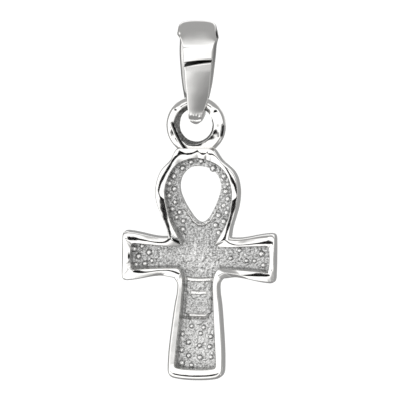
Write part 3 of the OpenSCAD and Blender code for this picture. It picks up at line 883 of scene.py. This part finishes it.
# %% Make polished rhodium-plated silver, for the bail
def polished_silver(name):
    # Rhodium over sterling silver: bright, a touch greyer than bare silver, waves about 1 mm long.
    material, tree = new_material(name)
    where = add_node(tree, "ShaderNodeTexCoord").outputs["Object"]
    waves = add_node(tree, "ShaderNodeTexNoise", values={"Scale": 900.0, "Detail": 1.0},
                     links={"Vector": where})
    hairs = add_node(tree, "ShaderNodeTexNoise", values={"Scale": 9000.0, "Detail": 2.0},
                     links={"Vector": where})
    wavy = add_node(tree, "ShaderNodeBump", values={"Strength": 0.12, "Distance": 0.00008},
                    links={"Height": waves.outputs["Fac"]})
    fine = add_node(tree, "ShaderNodeBump", values={"Strength": 0.05, "Distance": 0.00001},
                    links={"Height": hairs.outputs["Fac"], "Normal": wavy.outputs["Normal"]})
    # The inside of the bail is rougher, unpolished, and painted dark: painted shade of the bail's hollow.
    inside = add_node(tree, "ShaderNodeAttribute", settings={"attribute_name": "cast_finish_and_shade"}).outputs["Fac"]
    colour = add_node(tree, "ShaderNodeMix", settings={"data_type": "RGBA"},
                      values={6: linear(PLATED), 7: linear(INSIDE_SHADE)}, links={0: inside}).outputs[2]
    dull = add_node(tree, "ShaderNodeMapRange", values={"To Min": 0.11, "To Max": 0.5},
                    links={"Value": inside}).outputs["Result"]
    metal = add_node(tree, "ShaderNodeBsdfPrincipled", values={"Metallic": 1.0},
                     links={"Base Color": colour, "Roughness": dull, "Normal": fine.outputs["Normal"]})
    add_node(tree, "ShaderNodeOutputMaterial", links={"Surface": metal.outputs["BSDF"]})
    return material


bail_metal = polished_silver("polished_rhodium_silver")
print("made", bail_metal.name)

# %% Make polished and as-cast silver in one, for the casting
def cast_and_polished_silver(name, low, high):
    # Polished, rhodium-plated sterling silver where cast_finish_and_shade is 0, and the same metal as it
    # left
    # the mould where it is 1: grainy and pitted, from a low shade in the pits to a high one on the
    # grains.
    material, tree = new_material(name)
    where = add_node(tree, "ShaderNodeTexCoord").outputs["Object"]
    finish_shade_amount = add_node(tree, "ShaderNodeAttribute", settings={"attribute_name": "cast_finish_and_shade"}).outputs["Fac"]
    waves = add_node(tree, "ShaderNodeTexNoise", values={"Scale": 1100.0, "Detail": 1.5},
                     links={"Vector": where})
    grain = add_node(tree, "ShaderNodeTexNoise",
                     values={"Scale": 7500.0, "Detail": 3.0, "Roughness": 0.65}, links={"Vector": where})
    pits = add_node(tree, "ShaderNodeTexVoronoi", values={"Scale": 6500.0}, links={"Vector": where})
    rough_sum = add_node(tree, "ShaderNodeMath", settings={"operation": "MULTIPLY_ADD"}, values={1: 0.45},
                         links={0: pits.outputs["Distance"], 2: grain.outputs["Fac"]})
    wavy = add_node(tree, "ShaderNodeBump", values={"Strength": 0.12, "Distance": 0.00008},
                    links={"Height": waves.outputs["Fac"]})
    gritty = add_node(tree, "ShaderNodeBump", values={"Strength": 0.75, "Distance": 0.00006},
                      links={"Height": rough_sum.outputs["Value"]})
    normal = add_node(
        tree, "ShaderNodeMix", settings={"data_type": "VECTOR"},
        links={0: finish_shade_amount, 4: wavy.outputs["Normal"], 5: gritty.outputs["Normal"]}).outputs[1]
    shades = add_node(tree, "ShaderNodeValToRGB", links={"Fac": grain.outputs["Fac"]})
    ramp = shades.color_ramp
    ramp.elements[0].position, ramp.elements[0].color = 0.3, linear(low)
    ramp.elements[1].position, ramp.elements[1].color = 0.68, linear(high)
    dull = add_node(tree, "ShaderNodeMapRange", values={"To Min": 0.42, "To Max": 0.2},
                    links={"Value": grain.outputs["Fac"]})
    silver = add_node(tree, "ShaderNodeMix", settings={"data_type": "RGBA"}, values={6: linear(PLATED)},
                      links={0: finish_shade_amount, 7: shades.outputs["Color"]}).outputs[2]
    # Above 1 the attribute stands for black painted shade in the flaws and creases.
    painted_shade = add_node(tree, "ShaderNodeMapRange", values={"From Min": 1.0, "From Max": 1.7},
                       links={"Value": finish_shade_amount}).outputs["Result"]
    colour = add_node(tree, "ShaderNodeMix", settings={"data_type": "RGBA"},
                      values={7: linear(SHADE_BLACK)}, links={0: painted_shade, 6: silver}).outputs[2]
    roughness = add_node(tree, "ShaderNodeMix", settings={"data_type": "FLOAT"}, values={2: 0.08},
                         links={0: finish_shade_amount, 3: dull.outputs["Result"]}).outputs[0]
    metal = add_node(tree, "ShaderNodeBsdfPrincipled", values={"Metallic": 1.0},
                     links={"Base Color": colour, "Roughness": roughness, "Normal": normal})
    add_node(tree, "ShaderNodeOutputMaterial", links={"Surface": metal.outputs["BSDF"]})
    return material


casting_metal = cast_and_polished_silver("silver_polished_rim_and_cast_floor", "#747473", "#F0F0EF")
# The eye's cast shades are darker than the floor's: painted shade inside the hole.
eye_metal = cast_and_polished_silver("silver_polished_cast_and_shaded_eye", "#3A3A38", "#BEBEBD")
casting.data.materials.append(casting_metal)
eye.data.materials.append(eye_metal)
print("made", casting_metal.name, "and", eye_metal.name)

# %% Set a dome on every point with Geometry Nodes
def nub_tree(dome_radius, dome_height, seed, material):
    tree = bpy.data.node_groups.new("nubs_on_points", "GeometryNodeTree")
    face = tree.interface
    face.new_socket("Geometry", in_out="INPUT", socket_type="NodeSocketGeometry")
    radius = face.new_socket("Nub radius", in_out="INPUT", socket_type="NodeSocketFloat")
    height = face.new_socket("Nub height", in_out="INPUT", socket_type="NodeSocketFloat")
    chance = face.new_socket("Seed", in_out="INPUT", socket_type="NodeSocketInt")
    face.new_socket("Geometry", in_out="OUTPUT", socket_type="NodeSocketGeometry")
    start = add_node(tree, "NodeGroupInput")
    ball = add_node(tree, "GeometryNodeMeshIcoSphere", values={"Radius": 1.0, "Subdivisions": 4})
    where = add_node(tree, "GeometryNodeInputPosition")
    parts = add_node(tree, "ShaderNodeSeparateXYZ", links={"Vector": where.outputs["Position"]})
    cast = add_node(tree, "ShaderNodeMapRange", values={"From Min": -0.985, "From Max": -0.8},
                    links={"Value": parts.outputs["Y"]})
    ball = add_node(tree, "GeometryNodeStoreNamedAttribute",
                    settings={"data_type": "FLOAT", "domain": "POINT"}, values={"Name": "cast_finish_and_shade"},
                    links={"Geometry": ball.outputs["Mesh"], "Value": cast.outputs["Result"]})
    size = add_node(tree, "ShaderNodeCombineXYZ",
                    links={"X": start.outputs["Nub radius"], "Y": start.outputs["Nub height"],
                           "Z": start.outputs["Nub radius"]})
    by_chance = add_node(tree, "FunctionNodeRandomValue", settings={"data_type": "FLOAT"},
                         values={2: 0.8, 3: 1.12}, links={"Seed": start.outputs["Seed"]})
    scaled = add_node(tree, "ShaderNodeVectorMath", settings={"operation": "SCALE"},
                      links={0: size.outputs["Vector"], "Scale": by_chance.outputs[1]})
    place = add_node(tree, "GeometryNodeInstanceOnPoints",
                     links={"Points": start.outputs["Geometry"], "Instance": ball.outputs["Geometry"],
                            "Scale": scaled.outputs["Vector"]})
    real = add_node(tree, "GeometryNodeRealizeInstances", links={"Geometry": place.outputs["Instances"]})
    soft = add_node(tree, "GeometryNodeSetShadeSmooth", links={0: real.outputs["Geometry"]})
    metal = add_node(tree, "GeometryNodeSetMaterial", values={"Material": material},
                     links={"Geometry": soft.outputs[0]})
    add_node(tree, "NodeGroupOutput", links={"Geometry": metal.outputs["Geometry"]})
    settings = {radius.identifier: dome_radius, height.identifier: dome_height, chance.identifier: seed}
    return tree, settings


def bake_nodes(name, coords, tree, settings):
    mesh = bpy.data.meshes.new(name)
    mesh.from_pydata(in_metres(coords), [], [])
    piece = bpy.data.objects.new(name, mesh)
    scene.collection.objects.link(piece)
    modifier = piece.modifiers.new(name, "NODES")
    modifier.node_group = tree
    for key, value in settings.items():
        modifier[key] = value
    view = bpy.context.evaluated_depsgraph_get()
    baked = bpy.data.meshes.new_from_object(piece.evaluated_get(view), depsgraph=view)
    piece.modifiers.clear()
    piece.data = baked
    print(name, "faces:", len(baked.polygons))
    return piece


NUB_SEED = 11
dome_tree, dome_settings = nub_tree(nub / 2 * MM, nub_height * MM, NUB_SEED, casting_metal)
nubs = bake_nodes("floor_nubs", nub_spots, dome_tree, dome_settings)

# %% [markdown]
# ## The bail
#
# A bail of this kind starts as a flat leaf of silver, widest in the middle. It is folded over a rod at
# its middle, and its ends are brought together through the eye. Here the back end and the tongue that
# comes up from the foot stop short of each other and leave an open seam. The leaf is lofted along its
# fold: a section with rounded edges is carried along the path, with the width of the leaf at that place.

# %% Draw the leaf's outline
bail_front = [
    [0, 0], [0.45, 0.004], [0.82, 0.02], [0.96, 0.042], [1, 0.08], [0.985, 0.15], [0.945, 0.25],
    [0.925, 0.34], [0.86, 0.48], [0.775, 0.62], [0.63, 0.76], [0.47, 0.87], [0.32, 0.955], [0.16, 0.99],
    [0, 1],
]
bail_back = [
    [0.985, 0.09], [0.93, 0.145], [0.855, 0.2], [0.77, 0.27], [0.72, 0.38], [0.67, 0.5], [0.62, 0.62],
    [0.53, 0.76], [0.41, 0.87], [0.32, 0.955],
]


def leaf_line(keys):
    return fair([[k[0] * bail_width / 2, strip - k[1] * bail_height] for k in keys], STEPS)


front_line, arch_line = leaf_line(bail_front[3:]), leaf_line(bail_front[:5])
back_line = leaf_line(bail_back)


def width_at(line, z):
    order = np.argsort(line[:, 1])
    return float(np.interp(z, line[order, 1], line[order, 0]))


def arch_at(x):
    return float(np.interp(abs(x), arch_line[:, 0], arch_line[:, 1]))


print("the leaf is", round(2 * width_at(front_line, -1.0), 2), "mm wide under the arch")

# %% Run a belt round two wheels
top_r, low_r = bail_depth / 2, foot_depth / 2
top_c, low_c = strip - top_r, strip - bail_height + low_r
lean_out = math.asin((top_r - low_r) / (top_c - low_c))
lean_in = math.asin((top_r - strip - swept) / (top_c - hinge_z))


def on_wheel(radius, centre, angle):
    return np.array([radius * math.cos(angle), centre + radius * math.sin(angle)])


def belt_point(t, r_top, c_top, r_low, c_low, lean):
    """A belt's point: t from 0 to 4 runs up the back, over the top, down the front and round the foot."""
    back = math.pi + lean
    if t < 1:
        return mix(on_wheel(r_low, c_low, back), on_wheel(r_top, c_top, back), t)
    if t < 2:
        return on_wheel(r_top, c_top, back - (t - 1) * (math.pi + 2 * lean))
    if t < 3:
        return mix(on_wheel(r_top, c_top, -lean), on_wheel(r_low, c_low, -lean), t - 2)
    return on_wheel(r_low, c_low, -lean - (t - 3) * (math.pi - 2 * lean))


def inside_at(t):
    return belt_point(t % 4, top_r - strip, top_c, swept, hinge_z, lean_in)


seam_z = strip - seam_drop
straight_low = low_c - low_r * math.sin(lean_out)
straight_top = top_c - top_r * math.sin(lean_out)
LEAF_OVER, TONGUE_OVER = 0.19, 0.17
leaf_end = (seam_z + LEAF_OVER - straight_low) / (straight_top - straight_low)
tongue_end = (seam_z - seam_gap + TONGUE_OVER - straight_low) / (straight_top - straight_low)
print("the belt leans out by", round(math.degrees(lean_out), 2), "degrees")

# %% Bend the leaf and the tongue
# The near half of the arch is an oval that runs on smoothly into the leaf. The leaf bellies out a little
# below the arch and then hangs straight down. The tongue leans in, so it stands behind the leaf at the
# seam. Each tilt of the leaf is a height and an angle in degrees.
OVAL_DEEP, OVAL_HIGH, OVAL_END = 1.287, 0.978, -0.217
LEAF_LOW, BELLY = -3.2, -1.597
LEAF_TILTS = [
    (OVAL_END, 21.0), (-0.65, 18.0), (-0.94, 16.0), (-1.2, 14.5), (-1.34, 8.0), (-1.47, -2.0),
    (-1.7, -3.0), (LEAF_LOW, -3.0),
]
TONGUE_LEAN_TOP, TONGUE_LEAN_LOW = 5.5, 11.0
CREASE_TILT = 18.0
TOP_OF_ARCH = 1.5
tilt_z = np.linspace(OVAL_END, LEAF_LOW, 400)
tilts = np.interp(-tilt_z, [-k[0] for k in LEAF_TILTS], [k[1] for k in LEAF_TILTS])
oval_end_y = -OVAL_DEEP * math.sqrt(1 - ((OVAL_END - strip + OVAL_HIGH) / OVAL_HIGH) ** 2)
steps_out = np.tan(np.radians(tilts)) * (tilt_z[0] - tilt_z[1])
leaf_y = oval_end_y - np.concatenate([[0], np.cumsum(steps_out[:-1])])
leaf_y += max(0.0, BELLY - leaf_y.min()) * ease((OVAL_END - tilt_z) / 1.0)
tongue_low_y = -low_r * math.cos(lean_out)
tongue_top_z = seam_z - seam_gap
print("the leaf reaches", round(float(leaf_y.min()), 3), "and ends at", round(float(leaf_y[-1]), 3))


def outside_at(t):
    point = belt_point(t % 4, top_r, top_c, low_r, low_c, lean_out)
    z = point[1]
    if t > 4:
        share = (z - straight_low) / (tongue_top_z - straight_low)
        lean = mix(TONGUE_LEAN_LOW, TONGUE_LEAN_TOP, share / 2)
        return np.array([tongue_low_y - (z - straight_low) * math.tan(math.radians(lean)), z])
    if t > TOP_OF_ARCH:
        return point
    if z > OVAL_END:
        up = (z - strip + OVAL_HIGH) / OVAL_HIGH
        return np.array([-OVAL_DEEP * math.sqrt(max(0.0, 1 - up**2)), z])
    return np.array([float(np.interp(-z, -tilt_z, leaf_y)), z])


crease_t = 1 + (lean_out + math.radians(CREASE_TILT)) / (math.pi + 2 * lean_out)
path = np.concatenate([
    np.linspace(leaf_end, 1, 22)[:-1], np.linspace(1, crease_t - 0.003, 12), [crease_t],
    np.linspace(crease_t + 0.004, 2, 48)[:-1], np.linspace(2, 3, 64)[:-1],
    np.linspace(3, 4, 48)[:-1], np.linspace(4, 4 + tongue_end, 40),
])
print("stations along the fold:", len(path))

# %% Draw the leaf's section
ACROSS = 32
EDGE_ROUND, INNER_ROUND, INNER_DEEP = 0.07, 0.3, 0.25
ARCH_ROUND, ARCH_DEEP = 0.32, 0.19
HOLLOW, BACK_SHIFT, FRONT_SHIFT = 0.045, 0.2, -0.1
TONGUE_TURN, LEAF_TURN = math.tan(math.radians(8)), math.tan(math.radians(6))
TONGUE_FOOT = -6.9


def leaf_width(t, z):
    t = t % 4
    if t < 1:
        return width_at(back_line, z)
    if t < 2:
        back_share = float(ease((1.35 - t) / 0.35))
        wide = width_at(front_line, min(z, front_line[0][1]))
        return mix(wide, min(wide, width_at(back_line, z)), back_share)
    if t < 3:
        return width_at(front_line, z)
    share = float(ease((t - 3.3) / 0.5))
    return mix(width_at(front_line, z), min(width_at(front_line, z), width_at(back_line, z)), share)


def rounding(x, half, wide, deep):
    """How far a rounded edge has fallen away at x, for an edge that is so wide and so deep."""
    into = max(0.0, abs(x) - half + wide) / wide
    return deep * (1 - math.sqrt(max(0.0, 1 - into * into)))


def section_loop(t):
    """Points round the leaf's section at one station: outer face, edge, inner face, edge."""
    out, inn = outside_at(t), inside_at(t)
    half = leaf_width(t, out[1])
    gap = max(0.2, np.linalg.norm(out - inn))
    on_arch = float(ease((t - crease_t + 0.01) / 0.06) * ease((2.1 - t) / 0.2))
    on_leaf, on_tongue = float(ease((1.25 - t) / 0.3)), float(ease((t - 3.8) / 0.3))
    on_front = float(ease((t - 1.8) / 0.2) * ease((3.1 - t) / 0.2))
    shift = FRONT_SHIFT * on_front * float(ease((-0.15 - out[1]) / 1.7))
    if t < TOP_OF_ARCH:
        shift += BACK_SHIFT * float(ease((0.35 - out[1]) / 1.2))
    if t > 3:
        shift += BACK_SHIFT * on_tongue * float(ease((out[1] - TONGUE_FOOT) / 2.2))
    turn = TONGUE_TURN * on_tongue * float(ease((out[1] - TONGUE_FOOT) / 1.0))
    flatter = LEAF_TURN / top_r if t < TOP_OF_ARCH else 0.0
    outer_wide, outer_deep = mix(EDGE_ROUND, ARCH_ROUND, on_arch), mix(EDGE_ROUND, ARCH_DEEP, on_arch)
    wide, deep = mix(EDGE_ROUND, INNER_ROUND, on_front), mix(EDGE_ROUND, INNER_DEEP, on_front)
    xs = np.sin(np.linspace(-1, 1, ACROSS) * math.pi / 2) * 0.6 + np.linspace(-1, 1, ACROSS) * 0.4
    loop = []
    for x in xs * half:
        hollow = HOLLOW * (0.4 * on_leaf + on_tongue) * (x / half) ** 2
        fallen = rounding(x, half, outer_wide, outer_deep) + hollow
        y, z = mix(out, inn, min(0.47, fallen / gap))
        loop.append((x + shift, y * (1 - flatter * (x + half)) + turn * x, z))
    for x in xs[::-1] * half:
        loop.append((x + shift, *mix(inn, out, min(0.52, rounding(x, half, wide, deep) / gap))))
    return loop


print("points round the leaf's section:", len(section_loop(1.0)))

# %% Keep clear of the eye, and paint shade on the inside
def clear_of_eye(p):
    """Pushes a point out of the room that the eye sweeps as it swings."""
    x, y, z = p
    inner_r = ring_middle - swept
    if abs(x) >= inner_r:
        return p
    needed = ring_middle - math.sqrt(inner_r**2 - x * x)
    away = math.hypot(y, z - hinge_z)
    if away >= needed or away < 1e-6:
        return p
    return (x, y * needed / away, hinge_z + (z - hinge_z) * needed / away)


def inside_shade(x, z, half):
    """How dark the painted shade inside is: black in the middle, and lighter along the edges."""
    left = 0.12 + 0.3 * float(ease((-2.2 - z) / 1.0))
    right = 0.5 - 0.22 * float(ease((-1.8 - z) / 1.5))
    lighter_edge = mix(left, right, float(ease(x + 0.5)))
    lighter_edge = mix(0.55, lighter_edge, float(ease((half - abs(x)) / 0.07)))
    return mix(lighter_edge, 1.0, float(ease((half - 0.34 - abs(x)) / 0.06)))


print("oxide in the middle of the foot:", round(inside_shade(0.0, -6.0, 1.0), 2))

# %% Carry the section along the fold
TIP_Z = -6.8
bail_points, bail_faces, bail_shade = [], [], []
for index, t in enumerate(path):
    for j, (x, y, z) in enumerate(section_loop(t)):
        bail_shade.append(inside_shade(x, z, leaf_width(t, z)) if j >= ACROSS else 0.0)
        if 1 < t % 4 < 2:
            z = min(z, z - (strip - arch_at(x)) * float(ease((z - top_c) / top_r * 1.3)))
        if z < low_c:
            y += 0.014 * float(ease((low_c - z) / 0.4)) * hand_wave((x, y, z), 7.0, 6.0)
        if j < ACROSS and 3.5 < t < 4.1:
            y -= 0.14 * math.exp(-(((z - TIP_Z - 0.3 * x * x) / 0.08) ** 2))
        bail_points.append(clear_of_eye((x, y, z)))
around = 2 * ACROSS
print("points of the bail:", len(bail_points))

# %% Slope the cut ends and close them
# Near each end the stations slope with the cut, the more the nearer they are to it.
LEAF_ROWS, TONGUE_ROWS = 4, 6
leaf_slope, tongue_slope = math.tan(math.radians(seam_slope + 3.7)), math.tan(math.radians(12))
for index in [*range(LEAF_ROWS), *range(len(path) - TONGUE_ROWS, len(path))]:
    at_leaf = index < LEAF_ROWS
    near = 1 - (index if at_leaf else len(path) - 1 - index) / 5
    slope = leaf_slope if at_leaf else tongue_slope
    for j in range(around):
        x, y, z = bail_points[index * around + j]
        arch = 0.05 * (1 - (x / 0.9) ** 2)
        bail_points[index * around + j] = (x, y, z + near * (x * slope + arch))
for i in range(len(path) - 1):
    stitch(bail_faces, i * around, (i + 1) * around, around)
# Each cut end has a ring of its own, a hair inside, so that the painted shade starts at its very edge.
for place in (0, len(path) - 1):
    ring = np.array(bail_points[place * around:(place + 1) * around])
    bail_points += [tuple(p) for p in mix(ring, ring.mean(axis=0), 0.03)]
    bail_shade += [1.0] * around
    start = len(bail_points) - around
    if place:
        stitch(bail_faces, place * around, start, around)
    else:
        stitch(bail_faces, start, 0, around)
first_start, last_start = len(bail_points) - 2 * around, len(bail_points) - around
for j in range(ACROSS - 1):
    corners = [j, j + 1, around - 2 - j, around - 1 - j]
    bail_faces.append([first_start + c for c in corners])
    bail_faces.append([last_start + c for c in corners[:1] + corners[:0:-1]])
bail = make_piece("bail_leaf", bail_points, bail_faces, bail_shade)
bail.data.materials.append(bail_metal)

# %% [markdown]
# ## Putting the pieces on the bodies
#
# The fine pieces now take the place of the plain ones. The bail stays where the chain holds it, and the
# casting, its eye and its nubs swing together.

# %% Dress the bodies
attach(bail, "bail")
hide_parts("bail")
for piece in (casting, eye, nubs):
    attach(piece, "ankh")
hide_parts("ankh")

# %% [markdown]
# ## Floor, light and camera
#
# The charm hangs in a bright tent, as jewellery is photographed: white all round, so that the metal
# looks white, with the dark opening for the camera in front. That opening is the black line along the
# crest of the rim. A grey roof makes the grey arch of the bail, and grey paper behind and below shows on
# the sides of the casting. The camera itself and all dull surfaces see a plain white tent.

# %% Lay the floor
def pale_floor():
    mesh = bpy.data.meshes.new("floor")
    half, level = 4.0, -0.075
    corners = [(-half, -half, level), (half, -half, level), (half, half, level), (-half, half, level)]
    mesh.from_pydata(corners, [], [(0, 1, 2, 3)])
    floor = bpy.data.objects.new("floor", mesh)
    scene.collection.objects.link(floor)
    # Matt white paper.
    material, tree = new_material("white_paper")
    paper = add_node(tree, "ShaderNodeBsdfPrincipled",
                     values={"Base Color": linear("#FCFCFB"), "Roughness": 0.9})
    add_node(tree, "ShaderNodeOutputMaterial", links={"Surface": paper.outputs["BSDF"]})
    mesh.materials.append(material)
    floor.visible_glossy = False
    return floor


floor = pale_floor()
print("floor laid")

# %% Say which way things lie
def heading(azimuth, elevation):
    """Unit vector: azimuth 0 is straight out of the hollow back and + goes to +X, elevation + goes up."""
    a, e = math.radians(azimuth), math.radians(elevation)
    return Vector((math.sin(a) * math.cos(e), -math.cos(a) * math.cos(e), math.sin(e)))


CAMERA_AZIMUTH, CAMERA_ELEVATION, CAMERA_ROLL = 6.0, 4.0, 0.8
to_camera = heading(CAMERA_AZIMUTH, CAMERA_ELEVATION)
print("towards the camera:", [round(v, 3) for v in to_camera])

# %% Light the tent
def spot(tree, direction, towards, inner, outer):
    """1 inside the inner angle round a direction, 0 outside the outer angle, in degrees."""
    close = add_node(tree, "ShaderNodeVectorMath", settings={"operation": "DOT_PRODUCT"},
                     values={1: towards}, links={0: direction})
    gone, full = math.cos(math.radians(outer)), math.cos(math.radians(inner))
    return add_node(tree, "ShaderNodeMapRange", settings={"interpolation_type": "SMOOTHSTEP"},
                    values={"From Min": gone, "From Max": full},
                    links={"Value": close.outputs["Value"]}).outputs["Result"]


# Each paper of the tent: where its middle is, the angles where it is full and gone, and its brightness.
TENT_WHITE, PLAIN_WHITE = 1.5, 1.14
papers = [
    (heading(95, 20), 46, 66, 0.42),
    (heading(-112, 12), 30, 46, 0.38),
    (heading(0, 90), 50, 70, 0.455),
    (heading(194, -36), 50, 54, 0.37),
    (heading(0, -90), 46, 54, 0.35),
    (heading(24, -30), 8, 31, 0.33),
    (heading(-6, 4), 7.2, 9.0, 0.01),
]


def tent():
    world = bpy.data.worlds.new("tent")
    scene.world = world
    world.use_nodes = True
    tree = world.node_tree
    tree.nodes.clear()
    direction = add_node(tree, "ShaderNodeTexCoord").outputs["Generated"]
    level = None
    for towards, inner, outer, value in papers:
        mask = spot(tree, direction, towards, inner, outer)
        blend = add_node(tree, "ShaderNodeMix", settings={"data_type": "FLOAT"},
                         values={2: TENT_WHITE, 3: value}, links={0: mask})
        if level is not None:
            tree.links.new(level, blend.inputs[2])
        level = blend.outputs[0]
    mirrored = add_node(tree, "ShaderNodeLightPath").outputs["Is Glossy Ray"]
    white = linear("#FFFFFF")
    papered = add_node(tree, "ShaderNodeBackground", values={"Color": white}, links={"Strength": level})
    plain = add_node(tree, "ShaderNodeBackground", values={"Color": white, "Strength": PLAIN_WHITE})
    both = add_node(tree, "ShaderNodeMixShader",
                    links={0: mirrored, 1: plain.outputs["Background"], 2: papered.outputs["Background"]})
    add_node(tree, "ShaderNodeOutputWorld", links={"Surface": both.outputs["Shader"]})


tent()
scene.view_settings.view_transform = "Standard"
print("tent lit")

# %% Place the camera
# The aim and the distance are in metres, the sensor and the size of a pixel in millimetres.
AIM, DISTANCE = Vector((0.35, 0.0, -12.5)) * MM, 0.4
SENSOR, PICTURE_PIXELS, PIXEL_MM = 36.0, 400, 0.07236


def photo_camera():
    lens_data = bpy.data.cameras.new("camera")
    camera = bpy.data.objects.new("camera", lens_data)
    scene.collection.objects.link(camera)
    scene.camera = camera
    lens_data.sensor_width = SENSOR
    lens_data.lens = SENSOR * DISTANCE / (PICTURE_PIXELS * PIXEL_MM * MM)
    lens_data.clip_start, lens_data.clip_end = 0.01, 10.0
    camera.location = AIM + to_camera * DISTANCE
    turn = (-to_camera).to_track_quat("-Z", "Y").to_matrix().to_4x4()
    turn = turn @ Matrix.Rotation(math.radians(CAMERA_ROLL), 4, "Z")
    camera.rotation_euler = turn.to_euler()


photo_camera()
print("camera placed")
